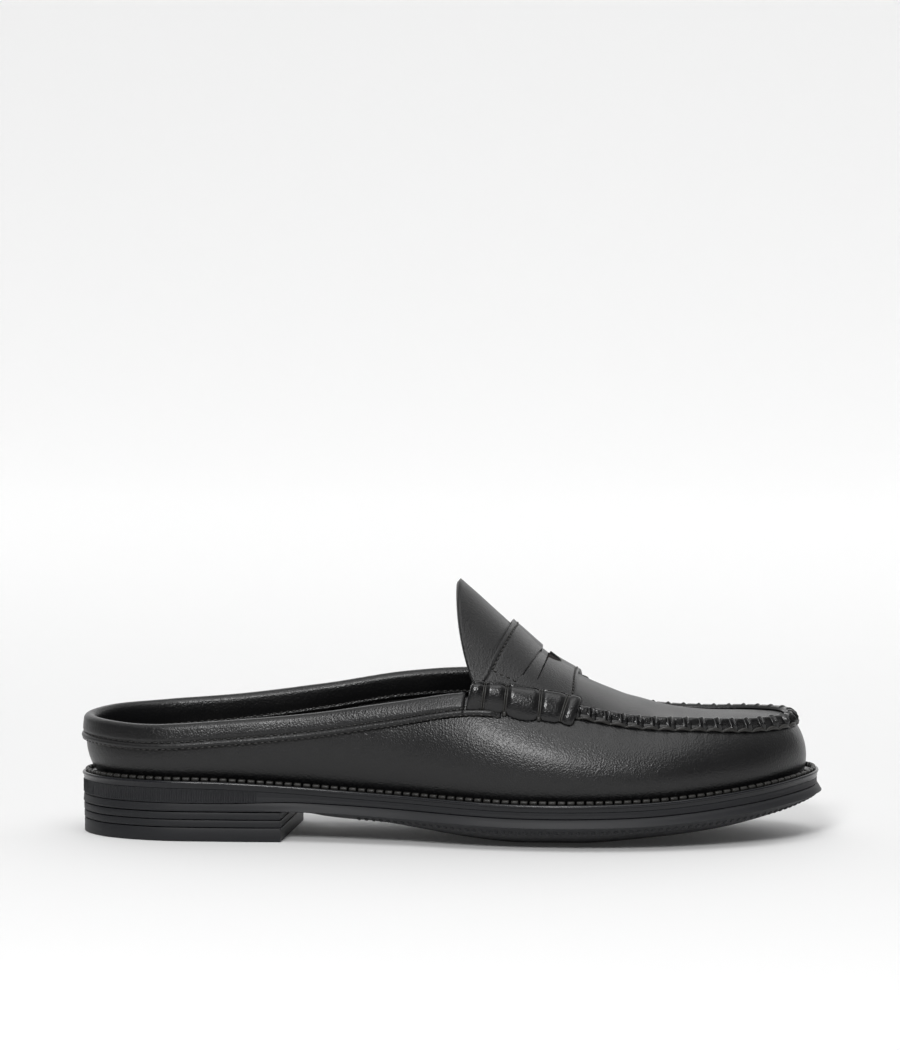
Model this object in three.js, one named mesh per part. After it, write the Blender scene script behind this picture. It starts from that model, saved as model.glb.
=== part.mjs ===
// Penny loafer mule, right shoe, in millimetres: +X to the toe, +Y to the inner side of the foot, +Z up.
// Every surface is worked out from the sizes below and from three short tables of stations.
import * as THREE from "three";

// Driving sizes of the last and the sole
const shoeLength = 300;
const ballWidth = 106;
const heelHeight = 24.3; // floor to welt at the heel seat
const treadHeight = 18.2; // floor to welt at the ball
const toeRise = 8.3; // welt at the toe tip above the ball
const toeSpring = 18; // underside of the toe tip above the floor
const archHeight = 11.4; // underside of the waist above the floor, at the heel breast
const treadCrown = 6.1; // how far the edge of the tread lies above its middle
const saddleRise = 42; // top line above the welt, at the saddle
const tongueRise = 83; // tongue tip above the welt
const breastPlace = 85; // heel breast from the back of the heel
const breastSlant = 4; // how much further forward it lies on the inner side

// Thicknesses and clearances
const gap = 0.3; // between neighbouring pieces
const upperWall = 2;
const weltThickness = 2.4;
const weltLip = 0.1; // welt beyond the side of the midsole
const weltRib = 1.3; // raised stitching rib on the welt
const weltReach = 9; // welt under the upper, from the sole's outline
const featherInset = 5.2; // foot of the upper, from the sole's outline
const foreSide = 5.4; // welt and midsole together, forward of the heel
const heelSide = 8.7; // the same at the heel
const outsoleLip = 1.9; // outsole beyond the side of the midsole, forward of the heel
const heelLip = 0.3; // the same at the heel
const outsoleSide = 3.3; // upright part of the outsole's edge
const outsoleTuck = 2.4; // how far the edge turns in below it
const heelLayer = 2.85; // one heel lift
const topPieceHeight = 5.6;
const heelBevel = 0.35;
const insoleThickness = 3;
const trim = 1.6; // top line of the trimmed upper, beyond the rim of its wall
const swellPlace = 0.38; // height of the wall's swell, as a share of the wall's
const shoulderPlace = 0.26; // how far its shoulder lies below the rim, as a share of the same
const heelTaper = 0.1; // each layer of the heel in from the one above
const heelCentre = 0.1; // middle of the round of the heel and of the toe, as shares of the length
const toeCentre = 0.87;

const lastLength = shoeLength - outsoleLip - heelLip;
const lastWidth = ballWidth - 2 * outsoleLip;

// Overlays
const bandOuterDepth = 9.2;
const bandInnerDepth = 10.6;
const bandThickness = 1.2;
const seamDepth = 3.9; // gathered seam on the wall
const seamReach = 2.3; // gathered seam on the plug
const seamHeight = 1.9;
const puckerPitch = 6.4;
const puckerDepth = 0.65;
const strapThickness = 1.6;
const strapRest = 0.15; // strap off the plug, beyond the gap
const strapClear = 0.7; // strap from the rolls
const strapRearEnd = 163.9; // strap's rear edge at the rolls, from the back of the heel
const strapRearRidge = 174.4; // and on the ridge
const strapFrontEnd = 201.3;
const strapFrontRidge = 200.4;
const slotLean = 0.04; // how far the slot's ends lie back, as a share of the strap's width
const rollBack = 159.7; // beef roll, from the back of the heel
const rollFront = 204;
const rollBelow = 7.4; // on the wall, below its rim
const rollAbove = 5.6; // on the plug, above it
const rollBulge = 5.4;
const lobeGroove = 1.3;
const lobeEdges = [0, 0.165, 0.34, 0.627, 0.846, 1]; // as shares of the roll's length
const tongueCorner = 162.3; // where the tongue's edge leaves the top line
const tongueLean = 9; // tongue tip behind that corner
const tongueCurve = 4.8; // exponent of the tongue's edge, as seen from above
const leanReach = 70; // the lean fades out over this length, from the corner on
const curveReach = 40; // and the curve over this
const ridgeAside = 0.25; // ridge to the inner side of the last's middle line, at the back of the heel
const ridgeDrift = 1.75; // and how much further at the plug's centre
const plugCentre = 262; // where the plug's ridge ends and its round front fans out
const plugArch = 2.2; // exponent of the arch across the instep

// Stations round the shoe, from the back of the heel along the outer side to the toe and back along the
// inner side. X is a share of the length, Y of half the ball width, rise of the saddle's rise. Sole is the
// outline of the midsole, top the trimmed top line; swell and shoulder are in millimetres.
const stations = [
  { soleX: 0.0, soleY: 0.0, topX: -0.0005, topY: 0.0, rise: 0.555, swell: 5.6, shoulder: 0.2 },
  { soleX: 0.032, soleY: -0.385, topX: 0.03, topY: -0.335, rise: 0.531, swell: 5.4, shoulder: 0.2 },
  { soleX: 0.107, soleY: -0.605, topX: 0.103, topY: -0.555, rise: 0.52, swell: 4.8, shoulder: 0.3 },
  { soleX: 0.207, soleY: -0.645, topX: 0.207, topY: -0.612, rise: 0.585, swell: 5.0, shoulder: 0.8 },
  { soleX: 0.317, soleY: -0.648, topX: 0.317, topY: -0.632, rise: 0.707, swell: 5.2, shoulder: 2.0 },
  { soleX: 0.433, soleY: -0.75, topX: 0.427, topY: -0.68, rise: 0.872, swell: 5.6, shoulder: 3.6 },
  { soleX: 0.55, soleY: -0.935, topX: 0.543, topY: -0.715, rise: 1.02, swell: 6.0, shoulder: 7.0 },
  { soleX: 0.66, soleY: -1.01, topX: 0.653, topY: -0.69, rise: 0.93, swell: 6.2, shoulder: 9.5 },
  { soleX: 0.767, soleY: -0.965, topX: 0.753, topY: -0.65, rise: 0.795, swell: 6.0, shoulder: 9.5 },
  { soleX: 0.86, soleY: -0.8, topX: 0.837, topY: -0.583, rise: 0.725, swell: 5.0, shoulder: 7.5 },
  { soleX: 0.937, soleY: -0.545, topX: 0.907, topY: -0.43, rise: 0.643, swell: 3.6, shoulder: 5.8 },
  { soleX: 0.987, soleY: -0.19, topX: 0.955, topY: -0.19, rise: 0.602, swell: 2.6, shoulder: 5.4 },
  { soleX: 1.0, soleY: 0.115, topX: 0.968, topY: 0.077, rise: 0.585, swell: 2.3, shoulder: 5.4 },
  { soleX: 0.987, soleY: 0.415, topX: 0.957, topY: 0.32, rise: 0.605, swell: 2.6, shoulder: 5.6 },
  { soleX: 0.937, soleY: 0.685, topX: 0.91, topY: 0.51, rise: 0.64, swell: 3.6, shoulder: 6.0 },
  { soleX: 0.86, soleY: 0.86, topX: 0.84, topY: 0.62, rise: 0.678, swell: 5.0, shoulder: 7.5 },
  { soleX: 0.767, soleY: 0.96, topX: 0.76, topY: 0.668, rise: 0.75, swell: 5.8, shoulder: 9.5 },
  { soleX: 0.667, soleY: 0.905, topX: 0.663, topY: 0.697, rise: 0.93, swell: 6.2, shoulder: 9.0 },
  { soleX: 0.55, soleY: 0.72, topX: 0.553, topY: 0.725, rise: 1.06, swell: 8.0, shoulder: 5.5 },
  { soleX: 0.433, soleY: 0.6, topX: 0.437, topY: 0.677, rise: 0.998, swell: 8.0, shoulder: 3.2 },
  { soleX: 0.317, soleY: 0.588, topX: 0.32, topY: 0.632, rise: 0.826, swell: 6.6, shoulder: 2.0 },
  { soleX: 0.207, soleY: 0.618, topX: 0.207, topY: 0.612, rise: 0.678, swell: 5.4, shoulder: 0.8 },
  { soleX: 0.107, soleY: 0.6, topX: 0.103, topY: 0.562, rise: 0.612, swell: 4.8, shoulder: 0.3 },
  { soleX: 0.032, soleY: 0.38, topX: 0.03, topY: 0.345, rise: 0.588, swell: 5.4, shoulder: 0.2 },
];

// Profile of the sole along the length, as shares of the sizes that each column is named for.
const soleProfile = [
  { at: 0.0, heel: 1.0, toe: 0.0, seat: 1.0, arch: 1.07, spring: 0.0, crown: 0.0 },
  { at: 0.1, heel: 0.99, toe: 0.0, seat: 1.0, arch: 1.07, spring: 0.0, crown: 0.0 },
  { at: 0.2, heel: 0.93, toe: 0.0, seat: 0.9, arch: 1.07, spring: 0.0, crown: 0.0 },
  { at: 0.29, heel: 0.7, toe: 0.0, seat: 0.28, arch: 1.04, spring: 0.0, crown: 0.03 },
  { at: 0.36, heel: 0.49, toe: 0.0, seat: 0.06, arch: 0.8, spring: 0.0, crown: 0.16 },
  { at: 0.42, heel: 0.34, toe: 0.0, seat: 0.0, arch: 0.6, spring: 0.0, crown: 0.37 },
  { at: 0.48, heel: 0.21, toe: 0.0, seat: 0.0, arch: 0.36, spring: 0.0, crown: 0.6 },
  { at: 0.54, heel: 0.09, toe: 0.0, seat: 0.0, arch: 0.14, spring: 0.0, crown: 0.8 },
  { at: 0.6, heel: 0.01, toe: 0.0, seat: 0.0, arch: 0.0, spring: 0.0, crown: 0.96 },
  { at: 0.69, heel: 0.0, toe: 0.02, seat: 0.0, arch: 0.0, spring: 0.0, crown: 1.0 },
  { at: 0.77, heel: 0.0, toe: 0.1, seat: 0.0, arch: 0.0, spring: 0.11, crown: 0.89 },
  { at: 0.84, heel: 0.0, toe: 0.28, seat: 0.0, arch: 0.0, spring: 0.24, crown: 0.7 },
  { at: 0.91, heel: 0.0, toe: 0.56, seat: 0.0, arch: 0.0, spring: 0.43, crown: 0.49 },
  { at: 0.96, heel: 0.0, toe: 0.8, seat: 0.0, arch: 0.0, spring: 0.645, crown: 0.31 },
  { at: 1.0, heel: 0.0, toe: 1.0, seat: 0.0, arch: 0.0, spring: 0.93, crown: 0.15 },
];

// Ridge of plug and tongue: height above the welt as a share of the tongue's rise.
const ridgeProfile = [
  { at: 0.515, rise: 1.018 },
  { at: 0.535, rise: 0.957 },
  { at: 0.556, rise: 0.889 },
  { at: 0.576, rise: 0.823 },
  { at: 0.594, rise: 0.764 },
  { at: 0.617, rise: 0.687 },
  { at: 0.637, rise: 0.629 },
  { at: 0.658, rise: 0.584 },
  { at: 0.678, rise: 0.545 },
  { at: 0.698, rise: 0.513 },
  { at: 0.719, rise: 0.482 },
  { at: 0.739, rise: 0.454 },
  { at: 0.759, rise: 0.4335 },
  { at: 0.797, rise: 0.389 },
  { at: 0.838, rise: 0.355 },
  { at: 0.878, rise: 0.334 },
];

const toeTurn = 0.5; // place of the toe tip in a way once round the stations
const up = new THREE.Vector3(0, 0, 1);

// Smooth curve through four values, a share t of the way from the second to the third.
function blend(a, b, c, d, t) {
  return cubic(b, c, (c - a) / 2, (d - b) / 2, t);
}

// The cubic from one value to the next with the slopes given at its two ends.
function cubic(from, to, slopeFrom, slopeTo, t) {
  const cubed = (2 * from - 2 * to + slopeFrom + slopeTo) * t ** 3;
  const squared = (3 * to - 3 * from - 2 * slopeFrom - slopeTo) * t ** 2;
  return cubed + squared + slopeFrom * t + from;
}

// A column of the stations at a place round the shoe, from 0 at the back of the heel to 1 there again.
function around(column, round) {
  const count = stations.length;
  const place = (((round % 1) + 1) % 1) * count;
  const row = Math.floor(place);
  const value = (i) => stations[(row + i + count) % count][column];
  return blend(value(-1), value(0), value(1), value(2), place - row);
}

// A column of a profile at a share of the length, by cubic pieces with even slopes at the rows.
function profile(rows, column, share) {
  const last = rows.length - 1;
  let row = 0;
  while (row < last - 1 && share > rows[row + 1].at) row++;
  const span = rows[row + 1].at - rows[row].at;
  const t = Math.min(1, Math.max(0, (share - rows[row].at) / span));
  const slopeAt = (i) => {
    const before = Math.max(0, i - 1);
    const after = Math.min(last, i + 1);
    return ((rows[after][column] - rows[before][column]) / (rows[after].at - rows[before].at)) * span;
  };
  return cubic(rows[row][column], rows[row + 1][column], slopeAt(row), slopeAt(row + 1), t);
}

const weltTop = (x) =>
  treadHeight +
  (heelHeight - treadHeight) * profile(soleProfile, "heel", x / lastLength) +
  toeRise * profile(soleProfile, "toe", x / lastLength);
const jointHeight = (x) =>
  weltTop(x) - foreSide - (heelSide - foreSide) * profile(soleProfile, "seat", x / lastLength);
const treadBase = (x) =>
  archHeight * Math.max(0, profile(soleProfile, "arch", x / lastLength)) +
  toeSpring * Math.max(0, profile(soleProfile, "spring", x / lastLength));
const crownAt = (x) => treadCrown * profile(soleProfile, "crown", x / lastLength);

// Point of the sole's outline, moved in by inset along the outline's own normal.
function outline(round, inset = 0) {
  const at = (r) =>
    new THREE.Vector3(around("soleX", r) * lastLength, (around("soleY", r) * lastWidth) / 2, 0);
  const outward = outwardNormal(round);
  return at(round).addScaledVector(outward, -inset);
}

function outwardNormal(round) {
  const step = 0.002;
  const dx = (around("soleX", round + step) - around("soleX", round - step)) * lastLength;
  const dy = ((around("soleY", round + step) - around("soleY", round - step)) * lastWidth) / 2;
  return new THREE.Vector3(dy, -dx, 0).normalize();
}

// Rim of the upper's wall, which the trim then covers.
function rim(round) {
  const x = around("topX", round) * lastLength;
  const y = (around("topY", round) * lastWidth) / 2;
  const point = new THREE.Vector3(x, y, weltTop(x) + around("rise", round) * saddleRise - trim);
  return point.addScaledVector(outwardNormal(round), -trim);
}

// Outer face of the wall: a cubic from the feather line, out over the swell and in to the rim.
function wallFace(round, v) {
  const outward = outwardNormal(round);
  const foot = outline(round, featherInset);
  foot.z = weltTop(foot.x) + gap;
  const top = rim(round);
  const height = top.z - foot.z;
  const swellHeight = swellPlace * height;
  const shoulderDrop = shoulderPlace * height;
  const low = foot.clone().addScaledVector(outward, around("swell", round));
  low.addScaledVector(up, swellHeight);
  const high = top.clone().addScaledVector(outward, around("shoulder", round));
  high.addScaledVector(up, -shoulderDrop);
  return new THREE.CubicBezierCurve3(foot, low, high, top).getPoint(v);
}

// Outer face of plug and tongue: an arch from the rim, at w = 0, to the ridge, at w = 1.
function plugFace(round, w) {
  const edge = rim(round);
  const along = around("topX", round) * lastLength;
  const lag = 1 - THREE.MathUtils.smoothstep(along, tongueCorner, tongueCorner + leanReach);
  const ridgeX = Math.min(along - tongueLean * lag, plugCentre);
  const ridgeY = ridgeAside + ridgeDrift * (ridgeX / plugCentre);
  const ridgeZ = weltTop(ridgeX) + profile(ridgeProfile, "rise", ridgeX / lastLength) * tongueRise;
  const curved = 1 - THREE.MathUtils.smoothstep(along, tongueCorner, tongueCorner + curveReach);
  const back = THREE.MathUtils.lerp(w, 1 - (1 - w) ** tongueCurve, curved);
  const arch = 1 - (1 - w) ** plugArch;
  return new THREE.Vector3(
    edge.x + (ridgeX - edge.x) * back,
    edge.y + (ridgeY - edge.y) * w,
    edge.z + (ridgeZ - edge.z) * arch,
  );
}

// A point off a face, along the face's normal.
function offFace(face, round, place, offset) {
  const step = 0.004;
  const low = Math.max(0, place - step);
  const high = Math.min(1, place + step);
  const alongRound = face(round + step, place).sub(face(round - step, place));
  const alongPlace = face(round, high).sub(face(round, low));
  const normal = alongRound.cross(alongPlace).normalize();
  return face(round, place).addScaledVector(normal, offset);
}

// The same, at a distance in millimetres from the rim: down the wall, or in over the plug.
function offWall(round, distance, offset) {
  const length = rim(round).distanceTo(wallFace(round, 0));
  return offFace(wallFace, round, Math.max(0, 1 - distance / length), offset);
}

function offPlug(round, distance, offset) {
  const step = 0.02;
  const rate = plugFace(round, 0).distanceTo(plugFace(round, step)) / step;
  return offFace(plugFace, round, distance / rate, offset);
}

// Place round the shoe, on its outer or inner side, where a measure that grows towards the toe reaches x.
function roundWhere(measure, x, inner) {
  let low = inner ? toeTurn : 0;
  let high = inner ? 1 : toeTurn;
  for (let i = 0; i < 40; i++) {
    const middle = (low + high) / 2;
    const ahead = measure(middle) > x;
    if (ahead === inner) low = middle;
    else high = middle;
  }
  return (low + high) / 2;
}

const roundAt = (x, inner, column = "topX") =>
  roundWhere((round) => around(column, round) * lastLength, x, inner);

const spread = (from, to, count) =>
  Array.from({ length: count + 1 }, (_, i) => from + ((to - from) * i) / count);

// An indexed mesh that joins vertices at one place and leaves out faces without area.
class Skin {
  constructor() {
    this.points = [];
    this.faces = [];
    this.known = new Map();
  }
  vertex(point) {
    const key = [point.x, point.y, point.z].map((value) => Math.round(value * 1000)).join();
    if (!this.known.has(key)) {
      this.known.set(key, this.points.length);
      this.points.push(point.clone());
    }
    return this.known.get(key);
  }
  triangle(a, b, c) {
    if (a !== b && b !== c && c !== a) this.faces.push([a, b, c]);
  }
  // Joins two rows of points; a closed row runs on from its last point to its first.
  band(lower, upper, closed = false) {
    const count = closed ? lower.length : lower.length - 1;
    for (let i = 0; i < count; i++) {
      const next = (i + 1) % lower.length;
      const [a, b, c, d] = [lower[i], lower[next], upper[next], upper[i]].map((point) => this.vertex(point));
      this.triangle(a, b, c);
      this.triangle(a, c, d);
    }
  }
  geometry() {
    const geometry = new THREE.BufferGeometry();
    const positions = this.points.flatMap((point) => point.toArray());
    geometry.setAttribute("position", new THREE.Float32BufferAttribute(positions, 3));
    geometry.setIndex(this.faces.flat());
    geometry.computeVertexNormals();
    return geometry;
  }
}

// Gives an open skin a wall: a second face lies the wall's thickness inside the first, and the edges close.
function thicken(skin, wall, settle = (inside) => inside) {
  const normals = skin.points.map(() => new THREE.Vector3());
  for (const face of skin.faces) {
    const [a, b, c] = face.map((i) => skin.points[i]);
    const normal = b.clone().sub(a).cross(c.clone().sub(a));
    face.forEach((i) => normals[i].add(normal));
  }
  const inside = skin.points.map((point, i) =>
    settle(point.clone().addScaledVector(normals[i].normalize(), -wall), point),
  );
  const uses = new Map();
  for (const face of skin.faces) {
    face.forEach((from, i) => uses.set(from + "_" + face[(i + 1) % 3], [from, face[(i + 1) % 3]]));
  }
  const solid = new Skin();
  solid.points = [...skin.points, ...inside];
  const count = skin.points.length;
  for (const [a, b, c] of skin.faces) {
    solid.faces.push([a, b, c], [a + count, c + count, b + count]);
  }
  for (const [from, to] of uses.values()) {
    if (!uses.has(to + "_" + from)) {
      solid.faces.push([to, from, from + count], [to, from + count, to + count]);
    }
  }
  return solid.geometry();
}

// Closes a ring of points with triangles that face the way the ring turns, or the other way.
function closeRing(skin, ring, turned) {
  const normal = new THREE.Vector3();
  ring.forEach((point, i) => normal.add(point.clone().cross(ring[(i + 1) % ring.length])));
  normal.normalize();
  const across = ring[1].clone().sub(ring[0]).normalize();
  const upward = normal.clone().cross(across);
  const contour = ring.map((point) => new THREE.Vector2(point.dot(across), point.dot(upward)));
  const edge = ring.map((point) => skin.vertex(point));
  for (const face of THREE.ShapeUtils.triangulateShape(contour, [])) {
    const area = THREE.ShapeUtils.area(face.map((i) => contour[i]));
    const [a, b, c] = area > 0 === turned ? [...face].reverse() : face;
    skin.triangle(edge[a], edge[b], edge[c]);
  }
}

// A solid from a section swept through rings of points; its ends are closed unless it runs round.
function sweep(rings, runsRound = false) {
  const skin = new Skin();
  rings.slice(1).forEach((ring, i) => skin.band(rings[i], ring, true));
  if (runsRound) skin.band(rings.at(-1), rings[0], true);
  else {
    closeRing(skin, rings[0], true);
    closeRing(skin, rings.at(-1), false);
  }
  return skin.geometry();
}

// A flat-lying solid from rings that go down its side; the first and last are closed straight across.
function pad(rings) {
  const skin = new Skin();
  rings.slice(1).forEach((ring, i) => skin.band(ring, rings[i], true));
  for (const [ring, facesUp] of [[rings[0], true], [rings.at(-1), false]]) {
    const edge = ring.map((point) => skin.vertex(point));
    const count = edge.length;
    for (let i = 0; i < Math.floor(count / 2); i++) {
      const across = [edge[i], edge[i + 1], edge[count - i - 1], edge[(count - i) % count]];
      const [a, b, c, d] = facesUp ? across : across.reverse();
      skin.triangle(a, b, c);
      skin.triangle(a, c, d);
    }
  }
  return skin.geometry();
}

// Stations for the sole's rings: each outer one has its partner across the shoe.
const soleRounds = (() => {
  const count = 34;
  const outer = spread(0, toeTurn, count);
  return [...outer, ...outer.slice(1, -1).reverse().map((round) => 1 - round)];
})();

// A ring round the sole: inset in millimetres, or as a function of the place along, then drawn in by a
// share towards the sole's middle line.
function soleRing(inset, draw, height) {
  return soleRounds.map((round) => {
    const reach = typeof inset === "function" ? inset(around("soleX", round) * lastLength) : inset;
    const point = outline(round, reach);
    const partner = outline(1 - round, reach);
    const middle = new THREE.Vector3(
      THREE.MathUtils.clamp((point.x + partner.x) / 2, lastLength * heelCentre, lastLength * toeCentre),
      (point.y + partner.y) / 2,
      0,
    );
    point.lerp(middle, draw);
    point.z = height(point.x);
    return point;
  });
}

function welt() {
  const section = [
    { inset: weltReach, rise: -weltThickness },
    { inset: -weltLip, rise: -weltThickness + 0.5 },
    { inset: -weltLip, rise: -0.3 },
    { inset: 0.2, rise: 0.25 },
    { inset: 1.1, rise: weltRib },
    { inset: 2.3, rise: weltRib },
    { inset: 3.4, rise: 0 },
    { inset: weltReach, rise: 0 },
  ];
  const rings = soleRounds.map((round) =>
    section.map(({ inset, rise }) => {
      const point = outline(round, inset);
      point.z = weltTop(point.x) + rise;
      return point;
    }),
  );
  return sweep(rings.reverse(), true);
}

// Midsole: the welt sits in the step round its top, and its plateau comes up level with the welt.
function midsole() {
  const plateau = weltReach + gap;
  const seat = (x) => weltTop(x) - weltThickness - gap;
  const foot = (x) => jointHeight(x) + gap / 2;
  return pad([
    soleRing(plateau, 0.5, weltTop),
    soleRing(plateau, 0, weltTop),
    soleRing(plateau, 0, seat),
    soleRing(0.3, 0, seat),
    soleRing(0, 0, (x) => seat(x) - 0.4),
    soleRing(0, 0, (x) => foot(x) + 0.4),
    soleRing(0.3, 0, foot),
    soleRing(8, 0.5, foot),
  ]);
}

// Outsole: an upright edge, a turned-in lower edge, and a crowned tread that is flat under the ball.
function outsole() {
  const top = (x) => jointHeight(x) - gap / 2;
  const underHeel = breastPlace + breastSlant + 0.5;
  const heelPart = (x) => 1 - THREE.MathUtils.smoothstep(x, underHeel, underHeel + 12);
  const heelFloor = topPieceHeight + 2 * heelLayer + 3 * gap;
  const bottom = (share) => (x) => {
    const tread = treadBase(x) + crownAt(x) * share;
    return tread + (heelFloor - tread) * heelPart(x);
  };
  const crest = (x) => Math.max(top(x) - outsoleSide, bottom(1)(x) + 0.5);
  const lip = (share) => (x) => {
    const fore = THREE.MathUtils.smoothstep(x, breastPlace * 0.7, breastPlace * 1.5);
    return -share * (heelLip + (outsoleLip - heelLip) * fore);
  };
  const tuck = (x) => outsoleTuck * (1 - heelPart(x)) + heelBevel;
  return pad([
    soleRing(8, 0.5, top),
    soleRing(lip(0.2), 0, top),
    soleRing(lip(0.6), 0, (x) => top(x) - 0.4),
    soleRing(lip(1), 0, crest),
    soleRing(tuck, 0, bottom(1)),
    soleRing(outsoleTuck + 5, 0.06, bottom(0.5)),
    soleRing(outsoleTuck + 5, 0.26, bottom(0.16)),
    soleRing(outsoleTuck + 5, 0.5, bottom(0)),
  ]);
}

// One layer of the heel, from one height to another, cut off at the breast.
function heelPiece(from, to, inset) {
  const sidePoints = 11;
  const ring = (more, height) => {
    const reach = inset + more;
    const half = (inner) => {
      const corner = breastPlace + (inner ? breastSlant : -breastSlant) / 2 - more;
      const end = roundAt(corner, inner, "soleX");
      const start = inner ? 1 : 0;
      return spread(start, end, sidePoints).map((round) => outline(round, reach));
    };
    const points = [...half(false), ...half(true).reverse().slice(0, -1)];
    points.forEach((point) => (point.z = height));
    return points;
  };
  return pad([
    ring(heelBevel, to),
    ring(0, to - heelBevel),
    ring(0, from + heelBevel),
    ring(heelBevel, from),
  ]);
}

// Upper: wall, plug and tongue as one hollow skin, open at the collar and underneath.
const upperRounds = (() => {
  const sideSteps = 13;
  const sideX = spread(tongueCorner, plugCentre, sideSteps);
  const outer = sideX.map((x) => roundAt(x, false));
  const inner = sideX.map((x) => roundAt(x, true)).reverse();
  const toe = spread(outer.at(-1), inner[0], 14).slice(1, -1);
  const collar = spread(inner.at(-1), 1 + outer[0], 28).slice(1, -1);
  return { seam: [...outer, ...toe, ...inner], collar };
})();

function upper() {
  const skin = new Skin();
  const { seam, collar } = upperRounds;
  const rounds = [...seam, ...collar];
  const rows = spread(0, 1, 8).map((v) => rounds.map((round) => wallFace(round, v)));
  rows.slice(1).forEach((row, i) => skin.band(rows[i], row, true));
  const plugRows = spread(0, 1, 7).map((w) => seam.map((round) => plugFace(round, w)));
  plugRows.slice(1).forEach((row, i) => skin.band(plugRows[i], row));
  return thicken(skin, upperWall, (inside, point) => {
    const seat = weltTop(point.x) + gap;
    if (Math.abs(point.z - seat) < 0.01) inside.z = Math.max(weltTop(inside.x) + gap, seat);
    return inside;
  });
}

// Collar band: folded over the rim, with a stitched bead along its lower edge.
function collarBand() {
  const outer = gap + bandThickness;
  const lined = -upperWall - 1.5 * gap;
  const inner = lined - bandThickness;
  const section = [
    [bandOuterDepth, gap],
    [bandOuterDepth, outer - 0.1],
    [bandOuterDepth - 1.3, outer + 0.35],
    [bandOuterDepth - 2.8, outer - 0.25],
    [bandOuterDepth - 4.4, outer],
    [1, outer],
  ];
  const inside = [
    [1, inner],
    [bandInnerDepth, inner],
    [bandInnerDepth, lined],
    [1, lined],
  ];
  const cap = (round, radius, angles) => {
    const middle = offWall(round, 0.4, -upperWall / 2);
    const side = offWall(round, 0.4, 1).sub(offWall(round, 0.4, 0)).normalize();
    const rise = offWall(round, 0, 0).sub(offWall(round, 1, 0)).normalize();
    return angles.map((angle) =>
      middle
        .clone()
        .addScaledVector(side, radius * Math.cos(angle))
        .addScaledVector(rise, radius * Math.sin(angle)),
    );
  };
  const over = [0.3, 0.95, 1.6, 2.25, 2.85];
  const start = roundAt(rollBack - 1.6, true);
  const end = 1 + roundAt(rollBack - 1.6, false);
  const rings = spread(start, end, 36).map((round) => [
    ...section.map(([distance, offset]) => offWall(round, distance, offset)),
    ...cap(round, upperWall / 2 + outer, over),
    ...inside.map(([distance, offset]) => offWall(round, distance, offset)),
    ...cap(round, upperWall / 2 + gap, [...over].reverse().filter((_, i) => i % 2 === 0)),
    offWall(round, 1, gap),
  ]);
  return sweep(rings.reverse());
}

// Gathered seam: a raised roll on the joint of wall and plug, its outer side full at each pucker.
function gatheredSeam() {
  const start = roundAt(rollFront + 0.6, false);
  const end = roundAt(rollFront + 0.6, true);
  const length = spread(start, end, 60).reduce(
    (sum, round, i, all) => (i ? sum + rim(round).distanceTo(rim(all[i - 1])) : 0),
    0,
  );
  const puckers = Math.round(length / puckerPitch);
  const rings = spread(start, end, puckers * 2).map((round, i) => {
    const full = i % 2 ? 0 : -puckerDepth;
    const crest = rim(round)
      .addScaledVector(up, seamHeight)
      .addScaledVector(outwardNormal(round), 0.5 + full / 2);
    return [
      offWall(round, seamDepth, gap),
      offWall(round, seamDepth - 0.8, 1.5 + full / 2),
      offWall(round, 1.6, 1.9 + full),
      crest,
      offPlug(round, seamReach - 0.6, seamHeight - 0.4),
      offPlug(round, seamReach, gap),
      offWall(round, 0, gap + 0.35),
    ];
  });
  return sweep(rings.reverse());
}

// Beef roll: five padded lobes on the joint, between the collar band and the gathered seam.
function beefRoll(inner) {
  const ringsPerLobe = 5;
  const rings = [];
  for (let lobe = 0; lobe + 1 < lobeEdges.length; lobe++) {
    for (let i = lobe ? 1 : 0; i <= ringsPerLobe; i++) {
      const inLobe = i / ringsPerLobe;
      const share = lobeEdges[lobe] + (lobeEdges[lobe + 1] - lobeEdges[lobe]) * inLobe;
      const fullness = Math.sin(Math.PI * inLobe) ** 0.5;
      rings.push(rollSection(rollBack + (rollFront - rollBack) * share, inner, lobeGroove * (1 - fullness)));
    }
  }
  return sweep(inner ? rings : rings.reverse());
}

function rollSection(x, inner, groove) {
  const round = roundAt(x, inner);
  const below = offWall(round, rollBelow - groove / 2, gap + 0.1);
  const above = offPlug(round, rollAbove - groove / 2, gap + 0.1);
  const back = offWall(round, 0, gap + 0.5);
  const middle = below.clone().lerp(above, 0.5);
  const chord = above.clone().sub(below);
  const along = rim(roundAt(x + 1, inner)).sub(rim(roundAt(x - 1, inner)));
  const outward = chord.clone().cross(along).normalize();
  if (outward.dot(outwardNormal(round)) < 0) outward.negate();
  const arc = spread(0, Math.PI, 8).map((angle) =>
    middle
      .clone()
      .addScaledVector(chord, -0.5 * Math.cos(angle))
      .addScaledVector(outward, (rollBulge - groove) * Math.sin(angle) ** 0.75),
  );
  return [...arc, back];
}

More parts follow.
